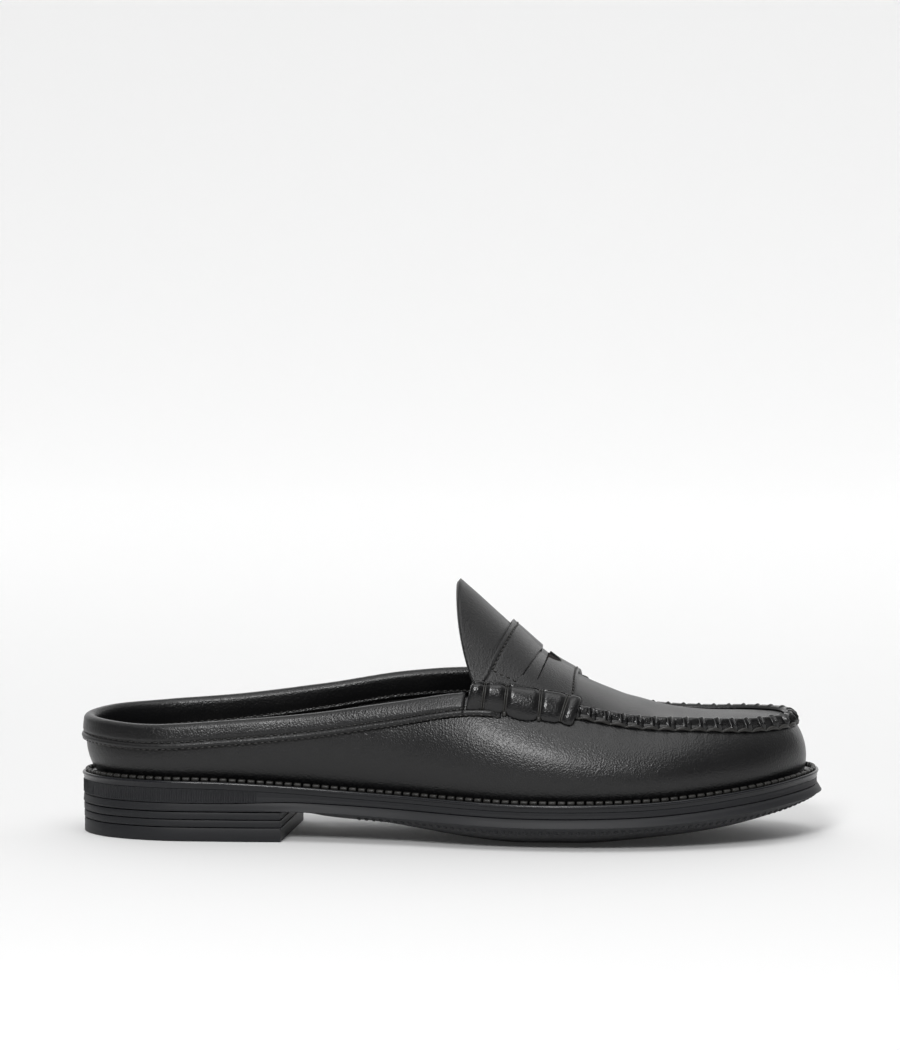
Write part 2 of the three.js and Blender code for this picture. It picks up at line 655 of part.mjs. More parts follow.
// Saddle strap over the instep, with a slot across its middle.
function saddleStrap() {
  const rows = [0, 0.13, 0.27, 0.405, 0.6, 0.73, 0.87, 1];
  const slotRow = 3;
  const columns = 18;
  const slotColumns = 8;
  const crossing = (across, row) => {
    const inner = across > 0;
    const toRidge = 1 - Math.abs(across);
    const arch = 1 - (1 - toRidge) ** plugArch;
    const rear = strapRearEnd + (strapRearRidge - strapRearEnd) * arch;
    const front = strapFrontEnd + (strapFrontRidge - strapFrontEnd) * arch;
    const lean = row === slotRow || row === slotRow + 1 ? slotLean * (1 - toRidge) ** 2 : 0;
    const x = rear + (front - rear) * (rows[row] - lean);
    const place = (share) => (round) => {
      const step = 0.02;
      const rate = plugFace(round, 0).distanceTo(plugFace(round, step)) / step;
      const low = (rollAbove + strapClear) / rate;
      return Math.min(0.999, low + (1 - low) * share);
    };
    const at = place(toRidge);
    const round = roundWhere((r) => plugFace(r, at(r)).x, x, inner);
    return offFace(plugFace, round, at(round), gap + strapRest + strapThickness);
  };
  const grid = rows.map((_, row) =>
    spread(-1, 1, columns).map((across) =>
      across === 0 ? crossing(-1e-9, row).lerp(crossing(1e-9, row), 0.5) : crossing(across, row),
    ),
  );
  const skin = new Skin();
  const middle = columns / 2;
  for (let row = 0; row + 1 < grid.length; row++) {
    for (let column = 0; column < columns; column++) {
      const inSlot = row === slotRow && column >= middle - slotColumns && column < middle + slotColumns;
      if (!inSlot) skin.band(grid[row + 1].slice(column, column + 2), grid[row].slice(column, column + 2));
    }
  }
  return thicken(skin, strapThickness);
}

function insole() {
  const inset = featherInset + upperWall + 0.6;
  const floor = (x) => weltTop(x) + gap;
  return pad([
    soleRing(inset + 1, 0.5, (x) => floor(x) + insoleThickness),
    soleRing(inset + 0.5, 0, (x) => floor(x) + insoleThickness),
    soleRing(inset, 0, (x) => floor(x) + insoleThickness - 0.5),
    soleRing(inset, 0, floor),
    soleRing(inset + 1, 0.5, floor),
  ]);
}

const smoothLeather = new THREE.MeshStandardMaterial({ color: 0x26262a, roughness: 0.42, metalness: 0 });
const strapLeather = new THREE.MeshStandardMaterial({ color: 0x2b2b2e, roughness: 0.5, metalness: 0 });
const liningLeather = new THREE.MeshStandardMaterial({ color: 0x1d1c1a, roughness: 0.6, metalness: 0 });
const soleRubber = new THREE.MeshStandardMaterial({ color: 0x2a2b2f, roughness: 0.6, metalness: 0 });

const liftFloor = topPieceHeight + gap;
const liftTwoFloor = liftFloor + heelLayer + gap;
const topPiece = heelPiece(0, topPieceHeight, 2 * heelTaper);
const lowerLift = heelPiece(liftFloor, liftFloor + heelLayer, heelTaper);
const upperLift = heelPiece(liftTwoFloor, liftTwoFloor + heelLayer, 0);
const pieces = [
  { name: "heel_top_piece", geometry: topPiece, material: soleRubber },
  { name: "heel_lift_lower", geometry: lowerLift, material: soleRubber },
  { name: "heel_lift_upper", geometry: upperLift, material: soleRubber },
  { name: "outsole", geometry: outsole(), material: soleRubber },
  { name: "midsole", geometry: midsole(), material: soleRubber },
  { name: "welt", geometry: welt(), material: soleRubber },
  { name: "insole", geometry: insole(), material: liningLeather },
  { name: "upper", geometry: upper(), material: smoothLeather },
  { name: "collar_band", geometry: collarBand(), material: smoothLeather },
  { name: "gathered_seam", geometry: gatheredSeam(), material: smoothLeather },
  { name: "saddle_strap", geometry: saddleStrap(), material: strapLeather },
  { name: "beef_roll_outer", geometry: beefRoll(false), material: smoothLeather },
  { name: "beef_roll_inner", geometry: beefRoll(true), material: smoothLeather },
];

const shoe = new THREE.Group();
for (const { name, geometry, material } of pieces) {
  const mesh = new THREE.Mesh(geometry, material);
  mesh.name = name;
  shoe.add(mesh);
}

// The origin is the middle of the shoe's box, on the floor.
const box = new THREE.Box3().setFromObject(shoe);
shoe.position.set(-(box.min.x + box.max.x) / 2, -(box.min.y + box.max.y) / 2, -box.min.z);
const part = new THREE.Group();
part.add(shoe);

export default part;
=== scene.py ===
import math

import bpy
import numpy as np
from mathutils import Matrix, Vector


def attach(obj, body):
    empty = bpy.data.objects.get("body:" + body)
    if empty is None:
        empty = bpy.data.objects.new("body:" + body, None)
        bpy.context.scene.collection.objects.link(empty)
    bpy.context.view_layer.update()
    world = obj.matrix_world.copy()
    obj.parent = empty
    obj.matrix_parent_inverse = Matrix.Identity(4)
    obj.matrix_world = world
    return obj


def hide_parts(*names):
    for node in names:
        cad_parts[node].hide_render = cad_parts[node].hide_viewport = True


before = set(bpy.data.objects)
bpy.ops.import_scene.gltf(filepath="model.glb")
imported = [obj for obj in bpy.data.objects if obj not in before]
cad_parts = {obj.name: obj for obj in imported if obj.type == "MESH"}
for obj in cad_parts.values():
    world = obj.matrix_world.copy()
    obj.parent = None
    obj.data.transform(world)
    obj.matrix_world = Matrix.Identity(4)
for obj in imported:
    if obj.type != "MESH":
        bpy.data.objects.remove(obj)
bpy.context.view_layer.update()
print("frame loaded")

# All sizes are millimetres in the shoe's own frame: x from the back of the heel to the toe, y to the inner
# side of the foot, z up from the floor. rowShift takes them to the row's frame.
shoe = {
    "length": 297.8,
    "ballWidth": 102.2,
    "heelHeight": 24.3,
    "treadHeight": 18.2,
    "toeRise": 8.3,
    "toeSpring": 18.0,
    "archHeight": 11.4,
    "treadCrown": 6.1,
    "saddleRise": 42.0,
    "tongueRise": 83.0,
    "trim": 1.6,
    "featherInset": 5.2,
    "gap": 0.3,
    "foreSide": 5.4,
    "heelSide": 8.7,
    "tongueCorner": 162.3,
    "tongueLean": 9.0,
    "tongueCurve": 4.8,
    "tongueBlend": 70.0,
    "curveBlend": 40.0,
    "plugCentre": 262.0,
    "plugArch": 2.2,
    "rowShift": (-149.475, 1.283, 0.0),
}

stationNames = ("soleAlong", "soleAcross", "topAlong", "topAcross", "rise", "swell", "shoulder")
stationRows = [
    (0.0, 0.0, -0.0005, 0.0, 0.555, 5.6, 0.2),
    (0.032, -0.385, 0.03, -0.335, 0.531, 5.4, 0.2),
    (0.107, -0.605, 0.103, -0.555, 0.52, 4.8, 0.3),
    (0.207, -0.645, 0.207, -0.612, 0.585, 5.0, 0.8),
    (0.317, -0.648, 0.317, -0.632, 0.707, 5.2, 2.0),
    (0.433, -0.75, 0.427, -0.68, 0.872, 5.6, 3.6),
    (0.55, -0.935, 0.543, -0.715, 1.02, 6.0, 7.0),
    (0.66, -1.01, 0.653, -0.69, 0.93, 6.2, 9.5),
    (0.767, -0.965, 0.753, -0.65, 0.795, 6.0, 9.5),
    (0.86, -0.8, 0.837, -0.583, 0.725, 5.0, 7.5),
    (0.937, -0.545, 0.907, -0.43, 0.643, 3.6, 5.8),
    (0.987, -0.19, 0.955, -0.19, 0.602, 2.6, 5.4),
    (1.0, 0.115, 0.968, 0.077, 0.585, 2.3, 5.4),
    (0.987, 0.415, 0.957, 0.32, 0.605, 2.6, 5.6),
    (0.937, 0.685, 0.91, 0.51, 0.64, 3.6, 6.0),
    (0.86, 0.86, 0.84, 0.62, 0.678, 5.0, 7.5),
    (0.767, 0.96, 0.76, 0.668, 0.75, 5.8, 9.5),
    (0.667, 0.905, 0.663, 0.697, 0.93, 6.2, 9.0),
    (0.55, 0.72, 0.553, 0.725, 1.06, 8.0, 5.5),
    (0.433, 0.6, 0.437, 0.677, 0.998, 8.0, 3.2),
    (0.317, 0.588, 0.32, 0.632, 0.826, 6.6, 2.0),
    (0.207, 0.618, 0.207, 0.612, 0.678, 5.4, 0.8),
    (0.107, 0.6, 0.103, 0.562, 0.612, 4.8, 0.3),
    (0.032, 0.38, 0.03, 0.345, 0.588, 5.4, 0.2),
]
stations = dict(zip(stationNames, np.array(stationRows).T))

soleNames = ("at", "heel", "toe", "seat", "arch", "spring", "crown")
soleRows = [
    (0.0, 1.0, 0.0, 1.0, 1.07, 0.0, 0.0),
    (0.1, 0.99, 0.0, 1.0, 1.07, 0.0, 0.0),
    (0.2, 0.93, 0.0, 0.9, 1.07, 0.0, 0.0),
    (0.29, 0.7, 0.0, 0.28, 1.04, 0.0, 0.03),
    (0.36, 0.49, 0.0, 0.06, 0.8, 0.0, 0.16),
    (0.42, 0.34, 0.0, 0.0, 0.6, 0.0, 0.37),
    (0.48, 0.21, 0.0, 0.0, 0.36, 0.0, 0.6),
    (0.54, 0.09, 0.0, 0.0, 0.14, 0.0, 0.8),
    (0.6, 0.01, 0.0, 0.0, 0.0, 0.0, 0.96),
    (0.69, 0.0, 0.02, 0.0, 0.0, 0.0, 1.0),
    (0.77, 0.0, 0.1, 0.0, 0.0, 0.11, 0.89),
    (0.84, 0.0, 0.28, 0.0, 0.0, 0.24, 0.7),
    (0.91, 0.0, 0.56, 0.0, 0.0, 0.43, 0.49),
    (0.96, 0.0, 0.8, 0.0, 0.0, 0.645, 0.31),
    (1.0, 0.0, 1.0, 0.0, 0.0, 0.93, 0.15),
]
soleProfile = dict(zip(soleNames, np.array(soleRows).T))

ridgeRows = [
    (0.515, 1.018), (0.535, 0.957), (0.556, 0.889), (0.576, 0.823), (0.594, 0.764), (0.617, 0.687),
    (0.637, 0.629), (0.658, 0.584), (0.678, 0.545), (0.698, 0.513), (0.719, 0.482), (0.739, 0.454),
    (0.759, 0.4335), (0.797, 0.389), (0.838, 0.355), (0.878, 0.334),
]
ridgeProfile = dict(zip(("at", "rise"), np.array(ridgeRows).T))


# Where a smooth curve from a to b is at t, with its slopes at both ends
def curveAt(a, b, slope, nextSlope, t):
    rise = b - a
    return a + slope * t + (3 * rise - 2 * slope - nextSlope) * t**2 + (slope + nextSlope - 2 * rise) * t**3


# How far along a line each of its points lies
def runAlong(line):
    return np.concatenate([[0], np.cumsum(np.linalg.norm(np.diff(line, axis=0), axis=-1))])


# The last's surfaces. A place round the shoe, turn, runs from 0 at the back of the heel along the outer side
# to the toe at 0.5 and back along the inner side to 1.
def around(column, turn):
    values = stations[column]
    place = np.mod(turn, 1.0) * len(values)
    row = np.floor(place).astype(int)
    a, b, c, d = (values[(row + i) % len(values)] for i in (-1, 0, 1, 2))
    return curveAt(b, c, (c - a) / 2, (d - b) / 2, place - row)


def profile(table, column, share):
    at, value = table["at"], table[column]
    last = len(at) - 1
    share = np.clip(share, at[0], at[-1])
    row = np.clip(np.searchsorted(at, share) - 1, 0, last - 1)
    span = at[row + 1] - at[row]
    t = (share - at[row]) / span

    def slopeAt(i):
        before, after = np.maximum(i - 1, 0), np.minimum(i + 1, last)
        return (value[after] - value[before]) / (at[after] - at[before]) * span

    return curveAt(value[row], value[row + 1], slopeAt(row), slopeAt(row + 1), t)


def weltTop(x):
    share = x / shoe["length"]
    drop = (shoe["heelHeight"] - shoe["treadHeight"]) * profile(soleProfile, "heel", share)
    return shoe["treadHeight"] + drop + shoe["toeRise"] * profile(soleProfile, "toe", share)


def jointHeight(x):
    extra = (shoe["heelSide"] - shoe["foreSide"]) * profile(soleProfile, "seat", x / shoe["length"])
    return weltTop(x) - shoe["foreSide"] - extra


def treadBase(x):
    share = x / shoe["length"]
    arch = shoe["archHeight"] * np.maximum(0, profile(soleProfile, "arch", share))
    return arch + shoe["toeSpring"] * np.maximum(0, profile(soleProfile, "spring", share))


def crownAt(x):
    return shoe["treadCrown"] * profile(soleProfile, "crown", x / shoe["length"])


def unit(vectors):
    return vectors / np.maximum(np.linalg.norm(vectors, axis=-1, keepdims=True), 1e-9)


def point(x, y, z):
    return np.stack(np.broadcast_arrays(x, y, z), axis=-1).astype(float)


def outwardNormal(turn):
    step = 0.002
    dx = (around("soleAlong", turn + step) - around("soleAlong", turn - step)) * shoe["length"]
    dy = (around("soleAcross", turn + step) - around("soleAcross", turn - step)) * shoe["ballWidth"] / 2
    return unit(point(dy, -dx, 0))


def outline(turn, inset=0.0):
    x = around("soleAlong", turn) * shoe["length"]
    y = around("soleAcross", turn) * shoe["ballWidth"] / 2
    return point(x, y, 0) - outwardNormal(turn) * np.asarray(inset)[..., None]


def rim(turn):
    x = around("topAlong", turn) * shoe["length"]
    y = around("topAcross", turn) * shoe["ballWidth"] / 2
    z = weltTop(x) + around("rise", turn) * shoe["saddleRise"] - shoe["trim"]
    return point(x, y, z) - outwardNormal(turn) * shoe["trim"]


def lift(height):
    return point(0 * np.asarray(height), 0, height)


def wallFace(turn, v):
    turn, v = np.broadcast_arrays(turn, v)
    outward = outwardNormal(turn)
    foot = outline(turn, shoe["featherInset"])
    foot[..., 2] = weltTop(foot[..., 0]) + shoe["gap"]
    top = rim(turn)
    height = top[..., 2] - foot[..., 2]
    low = foot + outward * around("swell", turn)[..., None] + lift(0.38 * height)
    high = top + outward * around("shoulder", turn)[..., None] - lift(0.26 * height)
    t = v[..., None]
    return (1 - t) ** 3 * foot + 3 * (1 - t) ** 2 * t * low + 3 * (1 - t) * t**2 * high + t**3 * top


def smoothStep(x, low, high):
    t = np.clip((x - low) / (high - low), 0, 1)
    return t * t * (3 - 2 * t)


def plugFace(turn, w):
    turn, w = np.broadcast_arrays(turn, w)
    edge = rim(turn)
    corner = shoe["tongueCorner"]
    along = around("topAlong", turn) * shoe["length"]
    lag = 1 - smoothStep(along, corner, corner + shoe["tongueBlend"])
    ridgeX = np.minimum(along - shoe["tongueLean"] * lag, shoe["plugCentre"])
    ridgeY = 0.25 + 1.75 * ridgeX / shoe["plugCentre"]
    ridgeZ = weltTop(ridgeX) + profile(ridgeProfile, "rise", ridgeX / shoe["length"]) * shoe["tongueRise"]
    curved = 1 - smoothStep(along, corner, corner + shoe["curveBlend"])
    back = w + (1 - (1 - w) ** shoe["tongueCurve"] - w) * curved
    arch = 1 - (1 - w) ** shoe["plugArch"]
    x, y, z = ridgeX - edge[..., 0], ridgeY - edge[..., 1], ridgeZ - edge[..., 2]
    return edge + point(x * back, y * w, z * arch)


def faceNormal(face, turn, place):
    step = 0.004
    low, high = np.clip(place - step, 0, 1), np.clip(place + step, 0, 1)
    alongTurn = face(turn + step, place) - face(turn - step, place)
    return unit(np.cross(alongTurn, face(turn, high) - face(turn, low)))


def offFace(face, turn, place, offset):
    turn, place, offset = np.broadcast_arrays(turn, place, offset)
    return face(turn, place) + faceNormal(face, turn, place) * offset[..., None]


# Millimetres from the rim, down the wall or in over the plug, as a place on the face.
def downWall(turn, distance):
    length = np.linalg.norm(rim(turn) - wallFace(turn, 0), axis=-1)
    return np.maximum(0, 1 - distance / length)


def inPlug(turn, distance):
    step = 0.02
    rate = np.linalg.norm(plugFace(turn, 0) - plugFace(turn, step), axis=-1) / step
    return distance / rate


def offWall(turn, distance, offset):
    return offFace(wallFace, turn, downWall(turn, distance), offset)


def offPlug(turn, distance, offset):
    return offFace(plugFace, turn, inPlug(turn, distance), offset)


def turnWhere(measure, x, inner):
    x, inner = np.broadcast_arrays(np.asarray(x, float), inner)
    low, high = np.where(inner, 0.5, 0.0), np.where(inner, 1.0, 0.5)
    for _ in range(40):
        middle = (low + high) / 2
        ahead = (measure(middle) > x) == inner
        low, high = np.where(ahead, middle, low), np.where(ahead, high, middle)
    return (low + high) / 2


def turnAt(x, inner, column="topAlong"):
    return turnWhere(lambda turn: around(column, turn) * shoe["length"], x, inner)


# Places round the shoe at even steps of about spacing along a line
def evenTurns(start, end, spacing, line=rim):
    fine = np.linspace(float(start), float(end), 4000)
    run = runAlong(line(fine))
    count = max(4, round(run[-1] / spacing))
    return np.interp(np.linspace(0, run[-1], count + 1), run, fine)


# A smooth closed curve through rows of points, sampled count times round
def roundThrough(rows, count):
    place = np.arange(count) * len(rows) / count
    row = np.floor(place).astype(int)
    t = (place - row)[:, None, None]
    a, b, c, d = (rows[(row + i) % len(rows)] for i in (-1, 0, 1, 2))
    return curveAt(b, c, (c - a) / 2, (d - b) / 2, t)


def pickOnly(piece):
    bpy.ops.object.select_all(action="DESELECT")
    piece.select_set(True)
    bpy.context.view_layer.objects.active = piece


def applyModifier(piece, kind, **settings):
    pickOnly(piece)
    modifier = piece.modifiers.new(kind.lower(), kind)
    for name, value in settings.items():
        setattr(modifier, name, value)
    bpy.ops.object.modifier_apply(modifier=modifier.name)


mergeWithin = 0.000004  # metres


def toRow(points):
    return (np.asarray(points) + np.array(shoe["rowShift"])) / 1000


def joinPieces(name, pieces):
    pickOnly(pieces[0])
    for piece in pieces:
        piece.select_set(True)
    bpy.ops.object.join()
    pieces[0].name = name
    pieces[0].data.name = name
    return pieces[0]


# Takes the cells out of a grid that are marked in holes
def cutCells(piece, holes):
    bpy.ops.object.mode_set(mode="EDIT")
    bpy.ops.mesh.select_mode(type="FACE")
    bpy.ops.mesh.select_all(action="DESELECT")
    bpy.ops.object.mode_set(mode="OBJECT")
    for face in piece.data.polygons:
        row, column = divmod(min(face.vertices), holes.shape[1] + 1)
        face.select = bool(holes[row, column])
    bpy.ops.object.mode_set(mode="EDIT")
    bpy.ops.mesh.delete(type="FACE")
    bpy.ops.mesh.select_mode(type="VERT")
    bpy.ops.object.mode_set(mode="OBJECT")


# Lays a grid primitive over rows of points. Its UV map is in metres along and across the piece.
def layGrid(name, points, sealed=False, holes=None):
    rows, columns = points.shape[:2]
    bpy.ops.mesh.primitive_grid_add(x_subdivisions=columns - 1, y_subdivisions=rows - 1, size=0.1)
    piece = bpy.context.object
    piece.name = name
    piece.data.name = name
    places = toRow(points)
    piece.data.vertices.foreach_set("co", places.astype(np.float32).ravel())
    along, across = runAlong(places[rows // 2]), runAlong(places[:, columns // 2])
    grid = np.stack(np.meshgrid(along, across), axis=-1).reshape(-1, 2)
    corners = np.zeros(len(piece.data.loops), np.int32)
    piece.data.loops.foreach_get("vertex_index", corners)
    piece.data.uv_layers[0].data.foreach_set("uv", grid[corners].astype(np.float32).ravel())
    piece.data.update()
    if holes is not None:
        cutCells(piece, holes)
    bpy.ops.object.mode_set(mode="EDIT")
    bpy.ops.mesh.select_all(action="SELECT")
    bpy.ops.mesh.remove_doubles(threshold=mergeWithin)
    if sealed:
        bpy.ops.mesh.select_all(action="SELECT")
        bpy.ops.mesh.fill_holes(sides=0)
        bpy.ops.mesh.normals_make_consistent(inside=False)
    bpy.ops.object.mode_set(mode="OBJECT")
    bpy.ops.object.shade_smooth()
    return piece


# A solid swept from rings of points: each ring closes on itself, and the ends are sealed or meet.
def layRings(name, rings, runsRound=False):
    rings = np.concatenate([rings, rings[:, :1]], axis=1)
    if runsRound:
        rings = np.concatenate([rings, rings[:1]], axis=0)
    return layGrid(name, rings, sealed=True)


# A cord along a line of points, with a radius at each point
def layCord(name, line, radius, sides):
    line = np.asarray(line, float)
    tangent = unit(np.gradient(line, axis=0))
    side = np.zeros_like(line)
    side[0] = unit(np.cross(tangent[0], [0.13, 0.31, 0.94]))
    for i in range(1, len(line)):
        side[i] = unit(side[i - 1] - tangent[i] * np.dot(side[i - 1], tangent[i]))
    over = np.cross(tangent, side)
    angle = np.linspace(0, 2 * math.pi, sides, endpoint=False)
    radius = np.broadcast_to(radius, (len(line),))[:, None, None]
    rings = line[:, None] + radius * (
        side[:, None] * np.cos(angle)[None, :, None] + over[:, None] * np.sin(angle)[None, :, None]
    )
    return layRings(name, rings)


# Copies a modelled bit to many places, each given by where it is, its long way and its way up.
def copyAlong(name, model, places, ways, ups):
    copies = []
    for place, way, up in zip(toRow(places), ways, ups):
        up = unit(up - way * np.dot(up, way))
        across = np.cross(up, way)
        turn = Matrix((way, across, up)).transposed().to_4x4()
        copy = model.copy()
        copy.data = model.data.copy()
        copy.data.transform(Matrix.Translation(Vector(place)) @ turn)
        bpy.context.scene.collection.objects.link(copy)
        copies.append(copy)
    bpy.data.objects.remove(model)
    return joinPieces(name, copies)


# One stitch, sized by length, width and height: a short bit of thread that dips in at both ends
def makeStitch(size):
    bpy.ops.mesh.primitive_uv_sphere_add(segments=8, ring_count=6, radius=0.5)
    stitch = bpy.context.object
    scale = Matrix.Diagonal([side / 1000 for side in size] + [1])
    stitch.data.transform(scale @ Matrix.Rotation(math.pi / 2, 4, "Y"))
    bpy.ops.object.shade_smooth()
    return stitch


# A moulded tooth of the same kind of size: a short block with rounded edges
def makeTooth(size):
    bpy.ops.mesh.primitive_cube_add(size=0.001)
    tooth = bpy.context.object
    tooth.data.transform(Matrix.Diagonal([*size, 1]))
    applyModifier(tooth, "BEVEL", width=0.00042, segments=2)
    bpy.ops.object.shade_smooth()
    return tooth


# Sets a modelled bit at even steps along a line of points that lie on a surface with the given normals.
def setRow(name, model, line, normals, pitch):
    run = runAlong(line)
    count = max(1, int(run[-1] / pitch))
    at = (np.arange(count) + 0.5) * run[-1] / count
    pick = lambda values: np.stack([np.interp(at, run, values[:, i]) for i in range(3)], axis=-1)
    ways = unit(pick(np.gradient(line, axis=0)))
    return copyAlong(name, model, pick(line), ways, unit(pick(normals)))


def sewRow(name, line, normals, pitch, size):
    return setRow(name, makeStitch(size), line, normals, pitch)


def srgb(code):
    channels = [int(code[i : i + 2], 16) / 255 for i in (1, 3, 5)]
    return [c / 12.92 if c <= 0.04045 else ((c + 0.055) / 1.055) ** 2.4 for c in channels] + [1]


def newMaterial(name):
    material = bpy.data.materials.new(name)
    material.use_nodes = True
    material.node_tree.nodes.clear()
    return material


# Adds a node with its settings; sockets takes values, or an output to link, by the socket's name or place.
def addNode(material, kind, sockets=None, **settings):
    tree = material.node_tree
    node = tree.nodes.new(kind)
    for name, value in settings.items():
        setattr(node, name, value)
    for key, value in (sockets or {}).items():
        if isinstance(value, bpy.types.NodeSocket):
            tree.links.new(value, node.inputs[key])
        else:
            node.inputs[key].default_value = value
    return node


def finishPiece(piece, material, slotName, *nodes):
    piece.data.materials.clear()
    piece.data.materials.append(material)
    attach(piece, "root")
    if nodes:
        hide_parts(*nodes)


# Ends a material: the shader, and the output that it goes to
def addShader(material, sockets):
    shader = addNode(material, "ShaderNodeBsdfPrincipled", sockets)
    addNode(material, "ShaderNodeOutputMaterial", {"Surface": shader.outputs[0]})


def addPlace(material):
    return addNode(material, "ShaderNodeTexCoord").outputs["Object"]


def addNoise(material, where, scale, detail):
    sockets = {"Vector": where, "Scale": scale, "Detail": detail}
    return addNode(material, "ShaderNodeTexNoise", sockets).outputs[0]


def addBump(material, height, strength, depth):
    sockets = {"Height": height, "Strength": strength, "Distance": depth / 1000}
    return addNode(material, "ShaderNodeBump", sockets).outputs[0]


# Colour that drifts between the dye's own and a faded one
def addTone(material, drift, settings):
    tone = addNode(material, "ShaderNodeMix", {0: drift}, data_type="RGBA")
    tone.inputs["A"].default_value = srgb(settings["colour"])
    tone.inputs["B"].default_value = srgb(settings["fade"])
    return tone.outputs["Result"]


calfGrain = {
    "colour": "#0a0a0b",
    "fade": "#101011",
    "pebble": 0.6,
    "fineShare": 0.6,
    "finePerMetre": 1300.0,
    "driftPerMetre": 35.0,
    "depth": 0.15,
    "roughness": 0.34,
}


# Corrected-grain calf, drum dyed and finished with a thin resin coat: black, with a fine pebble that breaks
# a broad soft gloss into points of light. The real pebble is about 0.4 mm and is drawn at 0.6 mm.
def makeCalf(name, settings):
    material = newMaterial(name)
    where = addPlace(material)
    sockets = {"Vector": where, "Scale": 1000 / settings["pebble"]}
    pebble = addNode(material, "ShaderNodeTexVoronoi", sockets, feature="SMOOTH_F1").outputs[0]
    fine = addNoise(material, where, settings["finePerMetre"], 2.0)
    drift = addNoise(material, where, settings["driftPerMetre"], 4.0)
    sockets = {0: fine, 1: settings["fineShare"], 2: pebble}
    grain = addNode(material, "ShaderNodeMath", sockets, operation="MULTIPLY_ADD").outputs[0]
    sockets = {0: drift, 1: 0.3, 2: 0.7, 3: settings["roughness"] - 0.03, 4: settings["roughness"] + 0.05}
    roughness = addNode(material, "ShaderNodeMapRange", sockets).outputs[0]
    addShader(material, {
        "Base Color": addTone(material, drift, settings),
        "Roughness": roughness,
        "Normal": addBump(material, grain, 0.9, settings["depth"]),
        "IOR": 1.46,
        "Coat Weight": 0.08,
        "Coat Roughness": 0.25,
    })
    return material


calf = makeCalf("corrected_grain_calf", calfGrain)
strapFinish = {"colour": "#0d0d0e", "fade": "#141415", "depth": 0.2, "roughness": 0.42}
calfStrap = makeCalf("corrected_grain_calf_strap", {**calfGrain, **strapFinish})
calfPlug = makeCalf("corrected_grain_calf_plug", {**calfGrain, "depth": 0.2, "roughness": 0.46})
calfFolds = makeCalf("corrected_grain_calf_folds", {**calfGrain, "depth": 0.09, "roughness": 0.26})
liningFinish = {"colour": "#0d0c0b", "fade": "#131210", "depth": 0.04, "roughness": 0.5}
calfLining = makeCalf("lining_calf", {**calfGrain, **liningFinish})

rubber = {
    "colour": "#101114",
    "fade": "#16171b",
    "speckPerMetre": 1600.0,
    "driftPerMetre": 60.0,
    "depth": 0.02,
    "roughness": 0.55,
}


# Moulded synthetic rubber: bluish black, dull, with a faint mould texture
def makeRubber(name, settings):
    material = newMaterial(name)
    where = addPlace(material)
    speck = addNoise(material, where, settings["speckPerMetre"], 2.0)
    drift = addNoise(material, where, settings["driftPerMetre"], 3.0)
    addShader(material, {
        "Base Color": addTone(material, drift, settings),
        "Roughness": settings["roughness"],
        "Normal": addBump(material, speck, 0.25, settings["depth"]),
        "IOR": 1.43,
    })
    return material


soleRubber = makeRubber("moulded_rubber", rubber)
weltRubber = makeRubber("moulded_rubber_welt", {**rubber, "roughness": 0.24})

waxed = {"colour": "#1f1e1c", "twistPerMetre": 2500.0, "depth": 0.05, "roughness": 0.45}


# Waxed polyester thread: black, a little glossier than the leather round it
def makeThread(name):
    material = newMaterial(name)
    twist = addNoise(material, addPlace(material), waxed["twistPerMetre"], 1.0)
    addShader(material, {
        "Base Color": srgb(waxed["colour"]),
        "Roughness": waxed["roughness"],
        "Normal": addBump(material, twist, 0.3, waxed["depth"]),
    })
    return material


thread = makeThread("waxed_thread")


# A dull brown sheet that barely reflects, set in the mouth of the strap's front slit: painted shade for the
# shadow inside the mouth
def makeMouthShadeLeather():
    material = newMaterial("painted_shade_slit_mouth")
    addShader(material, {"Base Color": srgb("#120b08"), "Roughness": 0.9, "Specular IOR Level": 0.15})
    return material


mouthShadeLeather = makeMouthShadeLeather()

# Upper: the moccasin wall, gathered a little below the seam
wall = {
    "thickness": 2.0,
    "step": 0.9,
    "rows": 40,
    "seamFrom": 200.6,
    "gatherPitch": 6.4,
    "gatherDepth": 0.07,
    "gatherReach": 7.0,
    "fadeFrom": 0.5,
    "fadeTo": 6.0,
}
seamStart, seamEnd = (float(turnAt(wall["seamFrom"], inner)) for inner in (False, True))


def seamRun(turn):
    fine = np.linspace(seamStart, seamEnd, 3000)
    run = runAlong(rim(fine))
    return np.interp(turn, fine, run), run[-1]


seamLength = float(seamRun(seamStart)[1])
puckerCount = round(seamLength / wall["gatherPitch"])
puckerPitch = seamLength / puckerCount


def makeWall():
    turns = evenTurns(0, 1, wall["step"])
    v = np.linspace(0, 1, wall["rows"])[:, None]
    turn = turns[None, :]
    run, total = seamRun(turn)
    length = np.linalg.norm(rim(turn) - wallFace(turn, 0), axis=-1)
    below = (1 - v) * length
    inSeam = smoothStep(np.minimum(run, total - run), wall["fadeFrom"], wall["fadeTo"])
    fade = np.exp(-((below / wall["gatherReach"]) ** 2)) * inSeam
    wave = -np.cos(2 * math.pi * run / puckerPitch)
    points = offFace(wallFace, turn, v, wall["gatherDepth"] * wave * fade)
    piece = layGrid("upper_wall", points)
    applyModifier(piece, "SOLIDIFY", thickness=wall["thickness"] / 1000, offset=-1)
    return piece


upperWall = makeWall()
finishPiece(upperWall, calf, "smooth_leather", "upper")

# Plug and tongue, arched over the instep
plug = {"thickness": 2.0, "step": 1.4, "sideColumns": 90, "rows": 44}


